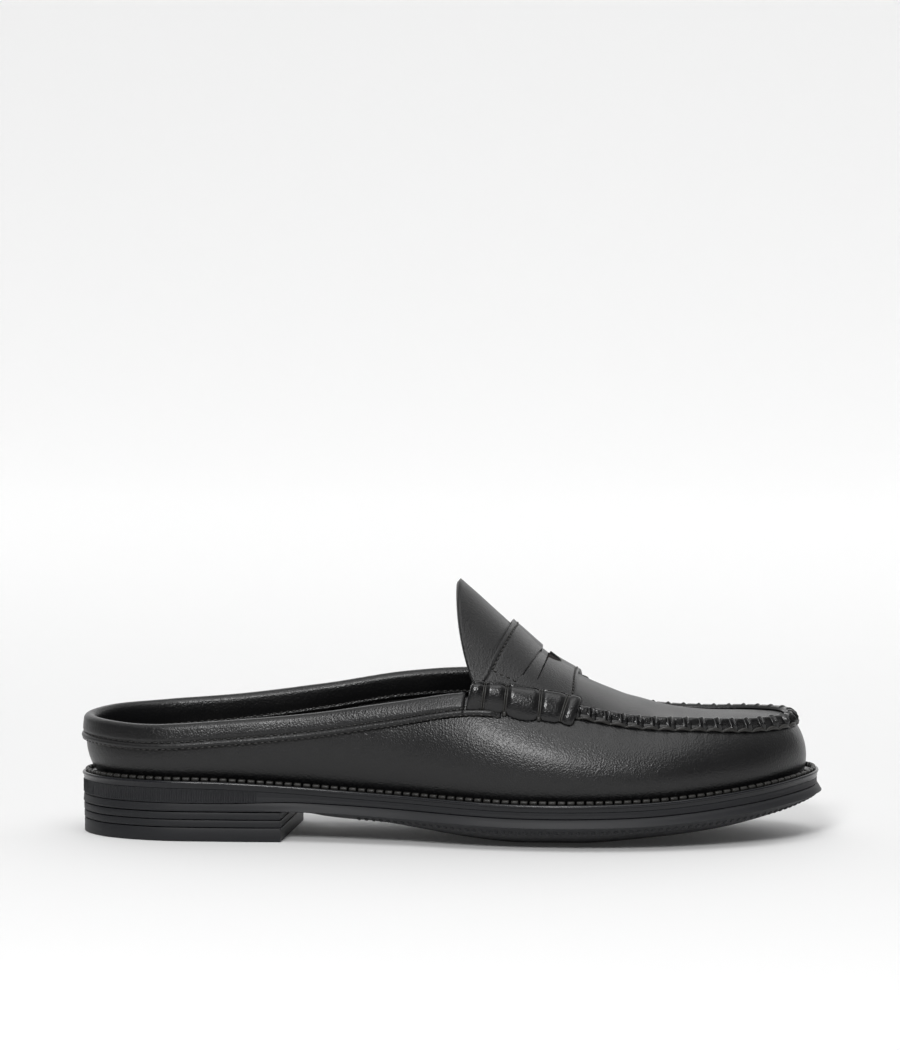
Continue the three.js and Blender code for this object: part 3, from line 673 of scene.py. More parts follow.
def makePlug():
    # both sides take the same places along, so that they meet on the ridge
    along = np.linspace(shoe["tongueCorner"], shoe["plugCentre"], plug["sideColumns"])
    outer, inner = turnAt(along, False), turnAt(along, True)
    toe = evenTurns(outer[-1], inner[-1], plug["step"])
    turns = np.concatenate([outer, toe[1:-1], inner[::-1]])
    w = np.linspace(0, 1, plug["rows"])[:, None]
    piece = layGrid("upper_plug", plugFace(turns[None, :], w))
    applyModifier(piece, "SOLIDIFY", thickness=plug["thickness"] / 1000, offset=-1)
    return piece


upperPlug = makePlug()
finishPiece(upperPlug, calfPlug, "smooth_leather", "upper")
print("upper laid")

# Collar band, folded over the rim: smooth to the upper stitches, a low ridge, and a sewn lower edge
band = {
    "thickness": 1.2,
    "outerDepth": 9.2,
    "innerDepth": 10.6,
    "end": 157.2,
    "tailEnd": 172.0,
    "step": 1.6,
    "wall": 2.0,
    "stitchPitch": 2.7,
    "upperRow": 6.1,
    "lowerRow": 8.9,
    "innerRow": 8.85,
    "upperStitch": (1.9, 0.6, 0.7),
    "lowerStitch": (1.9, 0.6, 0.6),
    "innerStitch": (1.9, 0.55, 0.5),
}


# The section of the lower bead from its foot up: millimetres down from the rim, and out from the wall
def beadSection(low, outer):
    return [
        (low - 0.6, shoe["gap"]),
        (low - 0.1, outer - 0.6),
        (low - 0.3, outer - 0.35),
        (low - 0.8, outer + 0.25),
        (low - 1.5, outer + 0.5),
        (low - 2.2, outer + 0.35),
    ]


def makeBand():
    outer = shoe["gap"] + band["thickness"]
    lined = -band["wall"] - 1.5 * shoe["gap"]
    inner = lined - band["thickness"]
    low = band["outerDepth"]
    outside = [
        *beadSection(low, outer),
        (low - 2.7, outer - 0.55),
        (low - 3.1, outer - 0.65),
        (low - 3.5, outer - 0.1),
        (low - 4.6, outer + 0.1),
        (low - 6.2, outer + 0.1),
        (1.0, outer),
    ]
    inside = [
        (1.0, inner),
        (4.0, inner - 0.15),
        (7.4, inner - 0.1),
        (8.6, inner + 0.25),
        (9.1, inner + 0.25),
        (9.6, inner),
        (band["innerDepth"] - 0.2, inner + 0.1),
        (band["innerDepth"], inner + 0.5),
        (band["innerDepth"], lined),
        (1.0, lined),
    ]
    start, end = float(turnAt(band["end"], True)), 1 + float(turnAt(band["end"], False))
    turns = evenTurns(start, end, band["step"])
    middle = offWall(turns, 0.4, -band["wall"] / 2)
    side = unit(offWall(turns, 0.4, 1) - offWall(turns, 0.4, 0))
    rise = unit(offWall(turns, 0, 0) - offWall(turns, 1, 0))

    def cap(radius, angles):
        return [middle + radius * (side * math.cos(a) + rise * math.sin(a)) for a in angles]

    over = np.linspace(0.25, math.pi - 0.25, 11)
    section = [offWall(turns, distance, offset) for distance, offset in outside]
    section += cap(band["wall"] / 2 + outer, over)
    section += [offWall(turns, distance, offset) for distance, offset in inside]
    section += cap(band["wall"] / 2 + shoe["gap"], over[::-3])
    section.append(offWall(turns, 1.0, shoe["gap"]))
    piece = layRings("collar_band_leather", np.stack(section, axis=1))
    rows = []
    for name, distance, offset, size in (
        ("collar_stitches_upper", band["upperRow"], outer - 0.4, band["upperStitch"]),
        ("collar_stitches_lower", band["lowerRow"], outer - 0.1, band["lowerStitch"]),
        ("collar_stitches_inner", band["innerRow"], inner + 0.05, band["innerStitch"]),
    ):
        line = offWall(turns, distance, offset)
        normals = offWall(turns, distance, offset + math.copysign(1, offset)) - line
        rows.append(sewRow(name, line, unit(normals), band["stitchPitch"], size))
    return piece, rows


# The band's lower bead, which runs on under the roll and ends there
def makeBandTail(inner, name):
    outer, low, gap = shoe["gap"] + band["thickness"], band["outerDepth"], shoe["gap"]
    section = [(low - 2.6, gap), *beadSection(low, outer), (low - 2.6, outer - 0.1)]
    places = np.linspace(band["end"] - 0.6, band["tailEnd"], 24)
    turns = turnAt(places, inner)
    sink = 1 - 0.8 * smoothStep(places, band["tailEnd"] - 5, band["tailEnd"])
    rings = [offWall(turns, distance, gap + (offset - gap) * sink) for distance, offset in section]
    piece = layRings(name, np.stack(rings, axis=1))
    line = offWall(turns, band["lowerRow"], (outer - 0.1) * sink)
    normals = unit(offWall(turns, band["lowerRow"], outer + 1) - offWall(turns, band["lowerRow"], outer))
    stitches = sewRow(name + "_stitches", line, normals, band["stitchPitch"], band["lowerStitch"])
    return piece, stitches


collarBand, collarStitches = makeBand()
finishPiece(collarBand, calf, "smooth_leather", "collar_band")
for row in collarStitches:
    finishPiece(row, thread, "smooth_leather")
for inner, name in ((False, "band_tail_outer"), (True, "band_tail_inner")):
    tail, tailStitches = makeBandTail(inner, name)
    finishPiece(tail, calf, "smooth_leather")
    finishPiece(tailStitches, thread, "smooth_leather")
print("collar band sewn")

# Gathered seam: the wall's edge drawn up over the plug in puckers, with a cord chain along its foot
seam = {
    "depth": 3.9,
    "reach": 2.3,
    "height": 1.9,
    "columnsPerPucker": 20,
    "sides": 32,
    "ridge": 0.95,
    "ridgeAt": 0.2,
    "ridgeWidth": 0.11,
    "panel": 1.5,
    "panelFrom": (0.36, 0.48),
    "panelTo": (0.9, 0.97),
    "overhang": 0.8,
    "crease": 1.0,
    "creaseWidth": 0.055,
    "cord": 0.85,
}


def makeSeam():
    turns = evenTurns(seamStart, seamEnd, puckerPitch / seam["columnsPerPucker"])
    run, total = seamRun(turns)
    phase = np.mod(run / puckerPitch, 1.0)
    fromCrease = np.minimum(phase, 1 - phase)
    crease = np.exp(-((fromCrease / seam["creaseWidth"]) ** 2))
    ridge = np.exp(-(((phase - seam["ridgeAt"]) / seam["ridgeWidth"]) ** 2))
    panel = smoothStep(phase, *seam["panelFrom"]) * (1 - smoothStep(phase, *seam["panelTo"]))
    full = seam["ridge"] * ridge - seam["panel"] * panel - seam["crease"] * crease
    top = seam["ridge"] * ridge - 0.3 * seam["crease"] * crease
    depth, reach, gap = seam["depth"], seam["reach"], shoe["gap"]
    crest = rim(turns) + lift(seam["height"] + 0.55 * top)
    crest = crest + outwardNormal(turns) * (0.35 + 0.7 * top + seam["overhang"] * panel)[:, None]
    section = [
        offWall(turns, depth, gap),
        offWall(turns, depth - 0.6, 1.1 + 0.5 * full - 0.2 * panel),
        offWall(turns, depth - 1.7, 1.75 + full),
        offWall(turns, 1.0 + 0.6 * panel, 1.95 + 0.9 * full + 0.2 * panel),
        crest,
        offPlug(turns, 0.9, seam["height"] + 0.55 * top),
        offPlug(turns, reach - 0.5, seam["height"] - 0.6),
        offPlug(turns, reach, gap),
        offWall(turns, 0, gap + 0.35),
    ]
    rings = roundThrough(np.stack(section), seam["sides"])
    piece = layRings("gathered_seam_leather", np.swapaxes(rings, 0, 1))
    swing = np.sin(math.pi * np.mod(phase - 0.3, 1.0))
    line = offWall(turns, depth + 0.25 - 0.6 * swing, 0.4 + 0.6 * swing)
    cord = layCord("gathered_seam_cord", line, seam["cord"] * (0.5 + 0.5 * swing), sides=10)
    return piece, cord


gatheredSeam, seamCord = makeSeam()
finishPiece(gatheredSeam, calfFolds, "smooth_leather", "gathered_seam")
finishPiece(seamCord, thread, "smooth_leather")
print("seam gathered")

# Beef rolls: five padded lobes, drawn in by doubled cord. Each line between lobes leans forward at its top.
roll = {
    "below": 7.4,
    "above": 5.6,
    "bulge": 5.5,
    "groove": 1.9,
    "barrel": 2.4,
    "dent": 0.75,
    "endFade": 2.2,
    "step": 0.55,
    "cord": 0.42,
    "knot": 0.95,
    "edge": 0.75,
    "fullness": 1.6,
    "arcPoints": 44,
}
rollLines = [
    # place along at mid height, lean from foot to top, and how far the lobe before the line hangs down
    (159.9, 4.0, 0.0),
    (165.8, 2.9, 0.0),
    (174.3, 2.2, 0.1),
    (187.4, 1.2, 1.5),
    (197.0, 3.4, 0.3),
    (202.3, 3.3, 0.4),
]


def rollSection(x, inner, groove, sag=0.0):
    places, leans, _ = zip(*rollLines)
    lean = float(np.interp(x, places, leans))
    foot, top = turnAt(x - lean / 2, inner), turnAt(x + lean / 2, inner)
    below = offWall(foot, roll["below"] + sag - groove / 2, shoe["gap"] + 0.1)
    above = offPlug(top, roll["above"] - groove / 3, shoe["gap"] + 0.1)
    back = offWall(turnAt(x, inner), 0, shoe["gap"] + 0.5)
    middle = (below + above) / 2
    chord = above - below
    along = rim(turnAt(x + 1, inner)) - rim(turnAt(x - 1, inner))
    outward = unit(np.cross(chord, along))
    if np.dot(outward, outwardNormal(foot)) < 0:
        outward = -outward
    angles = np.linspace(0, math.pi, roll["arcPoints"])
    # a line pressed in along the top leaves a narrow margin above it
    pressed = np.exp(-(((angles - 2.5) / 0.1) ** 2))
    margin = np.exp(-(((angles - 2.82) / 0.16) ** 2))
    out = (roll["bulge"] - groove) * np.sin(math.pi * (angles / math.pi) ** roll["fullness"]) ** 0.7
    out -= roll["dent"] * (pressed - 0.8 * margin)
    arc = [middle - chord * 0.5 * math.cos(a) + outward * b for a, b in zip(angles, out)]
    return np.array(arc), back, outward


def lobeAt(x):
    groove = 0.0
    for end in (rollLines[0][0], rollLines[-1][0]):
        near = max(0.0, 1 - abs(x - end) / roll["endFade"])
        groove = max(groove, 1.5 * (1 - math.sqrt(1 - near * near)))
    sag = 0.0
    for before, after in zip(rollLines, rollLines[1:]):
        if before[0] <= x <= after[0]:
            # how far the place lies from the lobe's middle, where only a wound end of the lobe draws in
            aside = (2 * x - before[0] - after[0]) / (after[0] - before[0])
            wound = (aside < 0 and before is not rollLines[0]) or (aside > 0 and after is not rollLines[-1])
            if wound:
                reach = min(1.0, 5.5 / (after[0] - before[0]))
                near = max(0.0, 1 - (1 - abs(aside)) / reach)
                groove = max(groove, roll["groove"] * near ** roll["barrel"])
            sag = after[2] * math.sin(math.pi * (x - before[0]) / (after[0] - before[0])) ** 0.7
    return groove, sag


# A knot of the doubled cord at the foot of the roll
def makeKnot(place):
    bpy.ops.mesh.primitive_uv_sphere_add(segments=14, ring_count=9, radius=roll["knot"] / 1000)
    knot = bpy.context.object
    knot.data.transform(Matrix.Translation(Vector(toRow(place))) @ Matrix.Diagonal((1, 0.8, 1.15, 1)))
    bpy.ops.object.shade_smooth()
    return knot


def makeRoll(inner, name):
    start, end = rollLines[0][0], rollLines[-1][0]
    places = np.linspace(start, end, round((end - start) / roll["step"]) + 1)
    rings = []
    for x in places:
        arc, back, _ = rollSection(x, inner, *lobeAt(x))
        rings.append(np.concatenate([arc, [back]]))
    piece = layRings(name, np.array(rings))
    cords, knots = [], []
    for at, line in enumerate(rollLines[1:-1]):
        for shift in (-0.95, 0.95):
            x = line[0] + shift * roll["cord"]
            arc, _, _ = rollSection(x, inner, roll["groove"] - roll["cord"] * 1.3)
            cords.append(layCord(name + "_cord", arc, roll["cord"], sides=8))
        if at in (1, 2):
            arc, _, outward = rollSection(line[0], inner, roll["groove"])
            knots.append(makeKnot(arc[0] + outward * 0.9 - np.array([0, 0, 1.1])))
    # the cut edge of the roll's leather, which lies along its top
    line = []
    for x in places[2:-1]:
        groove, _ = lobeAt(x)
        arc, _, outward = rollSection(x, inner, groove * 0.7)
        line.append(arc[-3] + outward * 0.1)
    edge = layCord(name + "_edge", line, roll["edge"], sides=8)
    return piece, joinPieces(name + "_cords", cords + knots), edge


for inner, node in ((False, "beef_roll_outer"), (True, "beef_roll_inner")):
    rollPiece, rollCords, rollEdge = makeRoll(inner, node + "_leather")
    finishPiece(rollPiece, calfFolds, "smooth_leather", node)
    finishPiece(rollCords, thread, "smooth_leather")
    finishPiece(rollEdge, calfFolds, "smooth_leather")
print("beef rolls wound")

# Saddle strap over the instep, with two slits and a flap between them
strap = {
    "thickness": 1.6,
    "top": 2.05,
    "rearEnd": 162.7,
    "rearRidge": 173.6,
    "rearCurve": 0.72,
    "frontEnd": 201.3,
    "frontRidge": 200.4,
    "slotFrom": 0.44,
    "slotTo": 0.565,
    "slotLean": 0.075,
    "slotReach": 0.9,
    "slit": 0.009,
    "mouth": 0.17,
    "mouthReach": 0.34,
    "flapSink": 1.5,
    "rearRow": 0.06,
    "frontRow": 0.955,
    "sideRow": 0.925,
    "sideRowIn": 0.975,
    "sideRowEnd": 0.44,
    "stitchGroove": 0.45,
    "stitchPitch": 2.3,
    "stitch": (1.6, 0.8, 0.95),
    "columns": 144,
    "rowsBefore": 18,
    "rowsIn": 8,
    "rowsAfter": 18,
}


# A place on the strap: across from -1 at the outer roll to 1 at the inner one, share from rear to front
def strapPlace(across, share, height):
    across, share, height = np.broadcast_arrays(across, share, height)
    inner = across > 0
    toRidge = 1 - np.abs(across)
    arch = 1 - (1 - toRidge) ** shoe["plugArch"]
    rear = strap["rearEnd"] + (strap["rearRidge"] - strap["rearEnd"]) * arch ** strap["rearCurve"]
    front = strap["frontEnd"] + (strap["frontRidge"] - strap["frontEnd"]) * arch
    near = np.interp(share, [0, 0.27, strap["slotFrom"], strap["slotTo"], 1], [0, 0.4, 1, 0.2, 0])
    x = rear + (front - rear) * (share - strap["slotLean"] * near * (1 - toRidge) ** 2)

    def placeIn(turn):
        low = inPlug(turn, roll["above"] + 0.7)
        return np.minimum(0.999, low + (1 - low) * toRidge)

    turn = turnWhere(lambda t: plugFace(t, placeIn(t))[..., 0], x, inner)
    return offFace(plugFace, turn, placeIn(turn), height)


# How far the front slit opens into a mouth where it crosses the ridge
def mouthAt(across):
    return strap["mouth"] * np.clip(1 - (across / strap["mouthReach"]) ** 2, 0, 1)


def stitchGroove(share):
    rear, front = (np.exp(-(((share - strap[row]) / 0.014) ** 2)) for row in ("rearRow", "frontRow"))
    return strap["stitchGroove"] * (rear + front)


def makeStrap():
    across = np.linspace(-1, 1, strap["columns"] + 1)
    open_ = np.clip(1 - (across / strap["slotReach"]) ** 2, 0, 1)
    mouth = mouthAt(across)
    from_ = strap["slotFrom"] + strap["slit"] * (1 + open_)
    to = strap["slotTo"] - strap["slit"]
    edges = [0.0, 0.02, 0.04, strap["rearRow"], 0.08, 0.1]
    before = np.concatenate([edges, np.linspace(0.12, strap["slotFrom"], strap["rowsBefore"])])
    after = np.concatenate([np.linspace(0, 1, strap["rowsAfter"]), np.zeros(5)])[:, None]
    after = strap["slotTo"] + mouth + (0.92 - strap["slotTo"] - mouth) * after
    after[-5:] = np.array([0.935, strap["frontRow"], 0.975, 0.985, 1.0])[:, None]
    flap = from_ + (to - from_) * np.linspace(0, 1, strap["rowsIn"] + 1)[:, None]
    spread = np.ones_like(across)
    share = np.concatenate([before[:, None] * spread, flap, after])
    inFlap = np.zeros(len(share))
    inFlap[len(before) : len(before) + len(flap)] = 1
    height = strap["top"] - strap["flapSink"] * inFlap[:, None] * open_**1.3 - stitchGroove(share)
    points = strapPlace(across, share, height)
    half = strap["columns"] // 2
    outer, inner = (strapPlace(side, share[:, half], height[:, half]) for side in (-1e-9, 1e-9))
    points[:, half] = (outer + inner) / 2
    # each slit is a row of cells, out to its ends
    slits = np.isin(np.arange(len(share) - 1), (len(before) - 1, len(before) + len(flap) - 1))
    inReach = np.abs(across[1:] + across[:-1]) / 2 < strap["slotReach"]
    piece = layGrid("saddle_strap_leather", points[::-1], holes=(slits[:, None] & inReach[None, :])[::-1])
    applyModifier(piece, "SOLIDIFY", thickness=strap["thickness"] / 1000, offset=-1)
    sharp = {"limit_method": "ANGLE", "angle_limit": math.radians(50)}
    applyModifier(piece, "BEVEL", width=0.0002, segments=2, **sharp)
    return piece


# A dull sheet in the mouth of the front slit, which paints the shade inside it
def makeMouthShadeSheet():
    reach = strap["mouthReach"]
    across = np.linspace(-reach, reach, 33)
    across[16] = 1e-9
    share = strap["slotTo"] - 0.015 + (mouthAt(across) + 0.03) * np.linspace(0, 1, 7)[:, None]
    points = strapPlace(across, share, shoe["gap"] + 0.35 + 0.95 * mouthAt(across) / strap["mouth"])
    piece = layGrid("strap_mouth_painted_shade", points[::-1])
    applyModifier(piece, "SOLIDIFY", thickness=0.0003, offset=-1)
    return piece


# Two rows of stitches along its edges, which turn along the roll at their ends
def sewStrap():
    rows = []

    def sew(name, across, share, sunk):
        line = strapPlace(across, share, strap["top"] - sunk)
        normals = unit(strapPlace(across, share, strap["top"] + 1) - line)
        rows.append(sewRow(name, line, normals, strap["stitchPitch"], strap["stitch"]))

    sunk = strap["stitchGroove"] * 0.4
    sew("strap_stitches_rear", np.linspace(-1, 1, 260) * strap["sideRow"], strap["rearRow"], sunk)
    sew("strap_stitches_front", np.linspace(-1, 1, 260) * strap["sideRowIn"], strap["frontRow"], sunk)
    share = np.linspace(strap["rearRow"], strap["sideRowEnd"], 60)
    across = np.linspace(strap["sideRow"], strap["sideRowIn"], 60)
    sew("strap_stitches_outer", -across, share, 0)
    sew("strap_stitches_inner", across, share, 0)
    return rows


saddleStrap = makeStrap()
finishPiece(saddleStrap, calfStrap, "smooth_leather", "saddle_strap")
# the dull sheet in the slit's mouth is painted shade
finishPiece(makeMouthShadeSheet(), mouthShadeLeather, "smooth_leather")
for row in sewStrap():
    finishPiece(row, thread, "smooth_leather")
print("strap laid")

# Sole: welt, midsole, outsole and heel
sole = {
    "step": 1.2,
    "weltReach": 9.0,
    "weltThickness": 2.4,
    "tooth": (3.0, 1.5, 2.0),
    "toothInset": 1.55,
    "toothRise": 0.7,
    "toothPitch": 3.75,
    "lip": 1.9,
    "heelLip": 0.3,
    "side": 3.3,
    "tuck": 2.4,
    "bevel": 0.35,
    "breast": 85.0,
    "breastSlant": 4.0,
    "lift": 2.85,
    "topPiece": 5.6,
    "mouldLine": 0.5,
    "mouldLineWidth": 0.24,
    "ribsTo": 73.5,
    "ribPitch": 1.0,
    "ribWidth": 0.55,
    "ribDepth": 0.5,
    "treadFrom": 113.0,
    "treadPitch": 3.0,
    "treadRib": (1.9, 3.0, 1.3),
}


def soleTurns():
    half = evenTurns(0, 0.5, sole["step"], outline)
    return np.concatenate([half, 1 - half[-2:0:-1]])


soleRound = soleTurns()


# A ring round the sole, inset from its outline and drawn in towards its middle line by a share
def soleRing(inset, draw, height):
    x = around("soleAlong", soleRound) * shoe["length"]
    reach = inset(x) if callable(inset) else np.full_like(x, inset)
    ring = outline(soleRound, reach)
    partner = outline(1 - soleRound, reach)
    middleX = np.clip((ring[:, 0] + partner[:, 0]) / 2, shoe["length"] * 0.1, shoe["length"] * 0.87)
    middle = point(middleX, (ring[:, 1] + partner[:, 1]) / 2, 0)
    ring = ring + (middle - ring) * draw
    ring[:, 2] = height(ring[:, 0])
    return ring


# Rings that go down a side; the first and last are drawn in to the middle line, where the two sides meet.
def layPad(name, rings):
    rings = np.array(rings)
    ends = []
    for ring in (rings[0], rings[-1]):
        partner = np.roll(ring[::-1], 1, axis=0)
        ends.append((ring + partner) / 2)
    return layRings(name, np.concatenate([ends[:1], rings, ends[1:]]))


def makeWelt():
    thick = sole["weltThickness"]
    section = [
        # inset from the sole's outline and rise over the welt's top: underside, edge, rib and top
        (sole["weltReach"], -thick), (0.7, -thick), (0.2, -0.24 - thick), (-0.04, -0.3 - thick),
        (-0.1, -thick), (-0.1, -1.2), (-0.42, -1.0), (-0.63, -0.5),
        (-0.5, 0.0), (-0.12, 0.3), (0.35, 0.34), (0.7, 0.15), (0.9, 0.0),
        (sole["weltReach"], 0.0),
    ]

    def line(turns, inset, rise):
        places = outline(turns, inset)
        places[:, 2] = weltTop(places[:, 0]) + rise
        return places

    rings = np.stack([line(soleRound, inset, rise) for inset, rise in section], axis=1)
    piece = layRings("welt_strip", rings, runsRound=True)
    turns = evenTurns(0, 1, 1.0, outline)
    normals = unit(outwardNormal(turns) * 0.35 + lift(1.0))
    row = line(turns, sole["toothInset"], sole["toothRise"])
    return piece, setRow("welt_stitches", makeTooth(sole["tooth"]), row, normals, sole["toothPitch"])


weltStrip, weltStitches = makeWelt()
finishPiece(weltStrip, weltRubber, "sole_rubber", "welt")
finishPiece(weltStitches, thread, "sole_rubber")


def makeMidsole():
    gap = shoe["gap"]
    plateau = sole["weltReach"] + gap
    seat = lambda x: weltTop(x) - sole["weltThickness"] - gap
    foot = lambda x: jointHeight(x) + gap / 2
    mould = lambda x: seat(x) + (foot(x) - seat(x)) * sole["mouldLine"]
    half = sole["mouldLineWidth"] / 2
    rings = [
        soleRing(plateau, 0.5, weltTop),
        soleRing(plateau, 0, weltTop),
        soleRing(plateau, 0, seat),
        soleRing(0.15, 0, seat),
        soleRing(0.0, 0, lambda x: seat(x) - 0.1),
        soleRing(0, 0, lambda x: mould(x) + half),
        soleRing(0.03, 0, mould),
        soleRing(0, 0, lambda x: mould(x) - half),
        soleRing(0, 0, lambda x: foot(x) + 0.1),
        soleRing(0.1, 0, foot),
        soleRing(8, 0.5, foot),
    ]
    piece = layPad("midsole_rubber", rings)
    bpy.ops.object.shade_smooth_by_angle(angle=math.radians(40))
    return piece


midsole = makeMidsole()
finishPiece(midsole, soleRubber, "sole_rubber", "midsole")


# Fine upright ribs round the heel, between the welt and the first line under it. The real ones stand about
# 0.65 mm apart and are drawn at 1 mm.
def makeHeelRibs():
    outer, inner = (float(turnAt(sole["ribsTo"], side, "soleAlong")) for side in (False, True))
    turns = evenTurns(inner, 1 + outer, 0.5, outline)
    line = outline(turns, 0.02)
    high, low = weltTop(line[:, 0]) - sole["weltThickness"] - 0.4, jointHeight(line[:, 0]) + 0.5
    line[:, 2] = (high + low) / 2
    rib = makeTooth((sole["ribWidth"], float(np.mean(high - low)), sole["ribDepth"]))
    return setRow("heel_ribs", rib, line, outwardNormal(turns), sole["ribPitch"])


finishPiece(makeHeelRibs(), soleRubber, "sole_rubber")


def makeOutsole():
    gap = shoe["gap"]
    top = lambda x: jointHeight(x) - gap / 2
    underHeel = sole["breast"] + sole["breastSlant"] + 0.5
    heelPart = lambda x: 1 - smoothStep(x, underHeel, underHeel + 12)
    heelFloor = sole["topPiece"] + 2 * sole["lift"] + 3 * gap

    def bottom(share):
        def height(x):
            tread = treadBase(x) + crownAt(x) * share
            return tread + (heelFloor - tread) * heelPart(x)

        return height

    crest = lambda x: np.maximum(top(x) - sole["side"], bottom(1)(x) + 0.5)

    def lip(share):
        def reach(x):
            fore = smoothStep(x, sole["breast"] * 0.7, sole["breast"] * 1.5)
            return -share * (sole["heelLip"] + (sole["lip"] - sole["heelLip"]) * fore)

        return reach

    tuck = lambda x: sole["tuck"] * (1 - heelPart(x)) + sole["bevel"]
    rings = [
        soleRing(8, 0.5, top),
        soleRing(0.0, 0, top),
        soleRing(lip(0.1), 0, lambda x: top(x) - 0.1),
        soleRing(lip(0.55), 0, lambda x: (top(x) + crest(x)) / 2),
        soleRing(lip(0.85), 0, lambda x: crest(x) + 0.35),
        soleRing(lip(1), 0, crest),
        soleRing(lambda x: lip(0.9)(x) + 0.1, 0, lambda x: crest(x) - 0.3),
        soleRing(tuck, 0, bottom(1)),
        soleRing(sole["tuck"] + 5, 0.06, bottom(0.5)),
        soleRing(sole["tuck"] + 5, 0.26, bottom(0.16)),
        soleRing(sole["tuck"] + 5, 0.5, bottom(0)),
    ]
    piece = layPad("outsole_rubber", rings)
    bpy.ops.object.shade_smooth_by_angle(angle=math.radians(40))
    return piece


outsole = makeOutsole()
finishPiece(outsole, soleRubber, "sole_rubber", "outsole")


# Ends of the tread's ribs, along the turned-in edge from the waist round the toe
def makeTreadEnds():
    start, end = (float(turnAt(sole["treadFrom"], inner, "soleAlong")) for inner in (False, True))
    turns = evenTurns(start, end, 0.8, outline)
    out = outline(turns, -sole["lip"] * 0.4)
    out[:, 2] = jointHeight(out[:, 0]) - shoe["gap"] / 2 - sole["side"] - 0.6
    low = outline(turns, sole["tuck"] + sole["bevel"])
    low[:, 2] = treadBase(low[:, 0]) + crownAt(low[:, 0])
    line = out + (low - out) * 0.62
    down = unit(low - out)
    normals = unit(np.cross(down, np.gradient(line, axis=0)))
    normals = normals * np.sign(np.sum(normals * outwardNormal(turns), axis=-1, keepdims=True))
    return sewRow("tread_rib_ends", line, normals, sole["treadPitch"], sole["treadRib"])


finishPiece(makeTreadEnds(), soleRubber, "sole_rubber")


def makeHeelLayer(name, low, high, inset):
    breast = lambda y: sole["breast"] + sole["breastSlant"] / 2 * y / (shoe["ballWidth"] * 0.31)

    def ring(more, height):
        halves = []
        for inner in (False, True):
            corner = breast(shoe["ballWidth"] * (0.3 if inner else -0.32)) - more
            turns = np.linspace(1 if inner else 0, turnAt(corner, inner, "soleAlong"), 90)
            halves.append(outline(turns, inset + more))
        both = np.concatenate([halves[0], halves[1][::-1][:-1]])
        both[:, 2] = height
        return both

    bevel = sole["bevel"]
    part = bevel * 0.3
    rings = [ring(bevel, high), ring(part, high - part), ring(0, high - bevel)]
    rings += [ring(0, low + bevel), ring(part, low + part), ring(bevel, low)]
    piece = layPad(name, rings)
    bpy.ops.object.shade_smooth_by_angle(angle=math.radians(35))
    return piece


heelFloor = 0.0
for name, node, thick, inset in (
    ("heel_top_piece_rubber", "heel_top_piece", sole["topPiece"], 0.2),
    ("heel_lift_lower_rubber", "heel_lift_lower", sole["lift"], 0.1),
    ("heel_lift_upper_rubber", "heel_lift_upper", sole["lift"], 0.0),
):
    layer = makeHeelLayer(name, heelFloor, heelFloor + thick, inset)
    finishPiece(layer, soleRubber, "sole_rubber", node)
    heelFloor += thick + shoe["gap"]
print("sole built")

# Insole: a padded sock, lightly domed at its edge
insole = {"thickness": 3.0, "clearance": 7.8}


def makeInsole():
    inset, thick = insole["clearance"], insole["thickness"]
    section = [(1, 0.5, thick), (1.6, 0, thick), (0.6, 0, thick - 0.15), (0.1, 0, thick - 0.6)]
    section += [(0, 0, 0), (1, 0.5, 0)]
    floor = lambda x: weltTop(x) + shoe["gap"]
    rings = [soleRing(inset + more, draw, lambda x: floor(x) + rise) for more, draw, rise in section]
    return layPad("insole_sock", rings)


insoleSock = makeInsole()
finishPiece(insoleSock, calfLining, "lining_leather", "insole")

# Stage: a pale sweep, soft studio light and the photograph's camera. The paper glows towards the back, which
# keeps it as light there as round the shoe, and above the picture, where the shoe mirrors it.
stage = {
    "paper": "#e8e8e8",
    "front": 2.0,
    "back": 2.5,
    "wide": 6.0,
    "height": 2.2,
    "bend": 1.0,
    "bendSteps": 24,
    "glowFrom": -0.3,
    "glowTo": 1.5,
    "glow": 0.31,
    "highFrom": 0.4,
    "highTo": 0.9,
    "high": 0.65,
}


# A value that rises smoothly from one strength to another between two values of a socket
def addRise(material, value, start, end, least, most):
    sockets = {0: value, 1: start, 2: end, 3: least, 4: most}
    return addNode(material, "ShaderNodeMapRange", sockets, interpolation_type="SMOOTHSTEP").outputs[0]


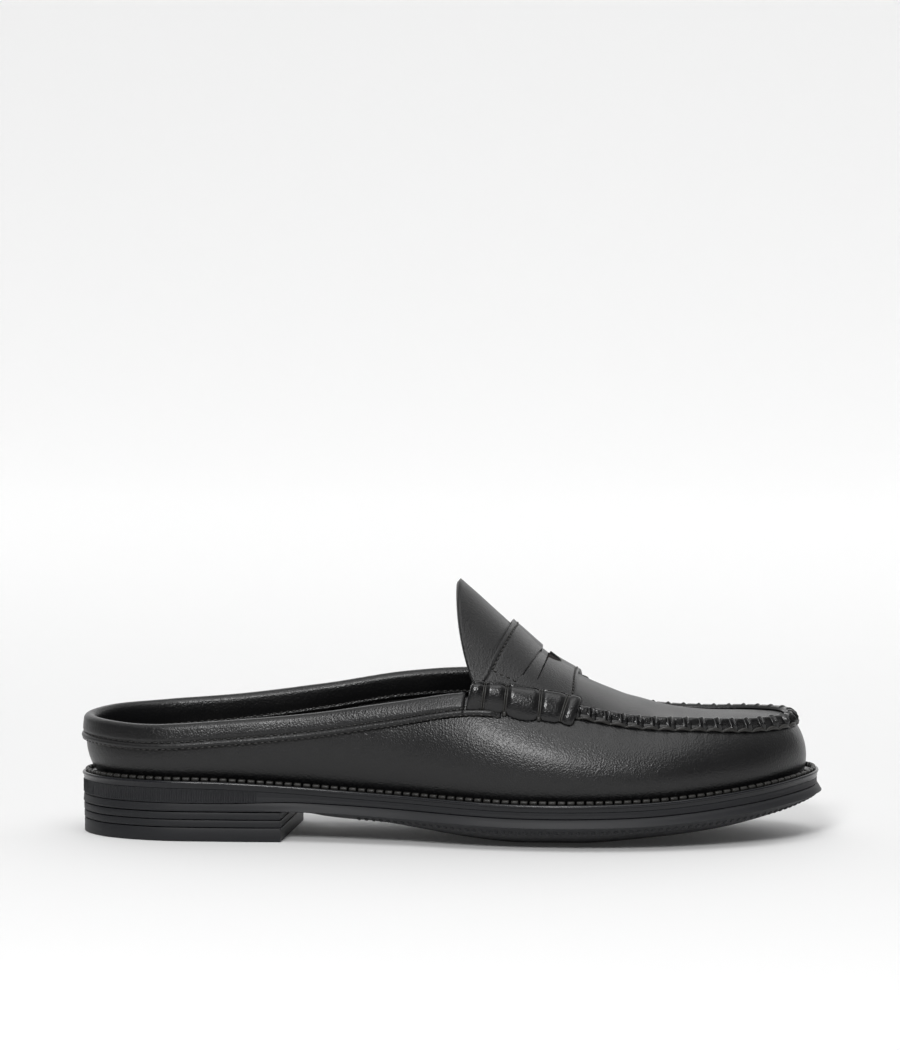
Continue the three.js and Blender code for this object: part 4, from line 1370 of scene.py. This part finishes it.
def makeStage():
    bend = stage["bend"]
    line = [(-stage["front"], 0.0)]
    for angle in np.linspace(0, math.pi / 2, stage["bendSteps"] + 1):
        line.append((stage["back"] - bend + bend * math.sin(angle), bend * (1 - math.cos(angle))))
    line.append((stage["back"], stage["height"]))
    bpy.ops.mesh.primitive_grid_add(x_subdivisions=1, y_subdivisions=len(line) - 1, size=1)
    paper = bpy.context.object
    paper.name = "paper_sweep"
    for vertex in paper.data.vertices:
        side, row = vertex.index % 2, vertex.index // 2
        y, z = line[row]
        vertex.co = ((side - 0.5) * stage["wide"], y, z)
    bpy.ops.object.shade_smooth()
    material = newMaterial("matt_paper")
    place = addNode(material, "ShaderNodeSeparateXYZ", {0: addPlace(material)}).outputs
    back = addRise(material, place["Y"], stage["glowFrom"], stage["glowTo"], 0.0, stage["glow"])
    high = addRise(material, place["Z"], stage["highFrom"], stage["highTo"], 0.0, stage["high"])
    glow = addNode(material, "ShaderNodeMath", {0: back, 1: high}, operation="ADD").outputs[0]
    addShader(material, {
        "Base Color": srgb(stage["paper"]),
        "Roughness": 0.9,
        "Emission Color": (1, 1, 1, 1),
        "Emission Strength": glow,
    })
    paper.data.materials.append(material)


makeStage()

lights = [
    # name, place, aimed at, width, depth, watts
    ("softbox_front", (-0.27, -2.05, 1.42), (0.0, 0.0, 0.04), 0.6, 0.5, 34),
    ("softbox_top", (0.1, -0.75, 2.1), (0.0, 0.0, 0.0), 1.9, 1.5, 18),
    ("softbox_side", (1.3, 0.75, 1.5), (0.0, 0.0, 0.05), 1.1, 1.0, 2),
]


def aim(place, target):
    return (Vector(target) - Vector(place)).to_track_quat("-Z", "Y").to_euler()


for name, place, target, width, depth, watts in lights:
    bpy.ops.object.light_add(type="AREA", location=place, rotation=aim(place, target))
    light = bpy.context.object
    light.name = name
    light.data.shape = "RECTANGLE"
    light.data.size = width
    light.data.size_y = depth
    light.data.energy = watts

# The studio round the stage: dark low down on the camera's side, light above and behind the shoe
walls = {"lightest": (0.0, 0.6, 0.8), "dark": 0.14, "light": 0.64}


def makeWorld():
    world = bpy.data.worlds.new("studio")
    bpy.context.scene.world = world
    world.use_nodes = True
    world.node_tree.nodes.clear()
    way = addNode(world, "ShaderNodeTexCoord").outputs["Generated"]
    toward = addNode(world, "ShaderNodeVectorMath", {0: way, 1: walls["lightest"]}, operation="DOT_PRODUCT")
    strength = addRise(world, toward.outputs["Value"], 0.0, 1.0, walls["dark"], walls["light"])
    glow = addNode(world, "ShaderNodeBackground", {"Color": (1, 1, 1, 1), "Strength": strength})
    addNode(world, "ShaderNodeOutputWorld", {"Surface": glow.outputs[0]})


makeWorld()

view = {
    "place": (0.1508, -2.4692, 0.36089),
    "tilt": (90 - 5.436, 0, 3.5),
    "lens": 210.86,
    "sensor": 36.0,
}
bpy.ops.object.camera_add(location=view["place"], rotation=[math.radians(a) for a in view["tilt"]])
camera = bpy.context.object
camera.data.lens = view["lens"]
camera.data.sensor_width = view["sensor"]
camera.data.clip_end = 50
bpy.context.scene.camera = camera
bpy.context.scene.view_settings.view_transform = "Standard"
print("stage lit")
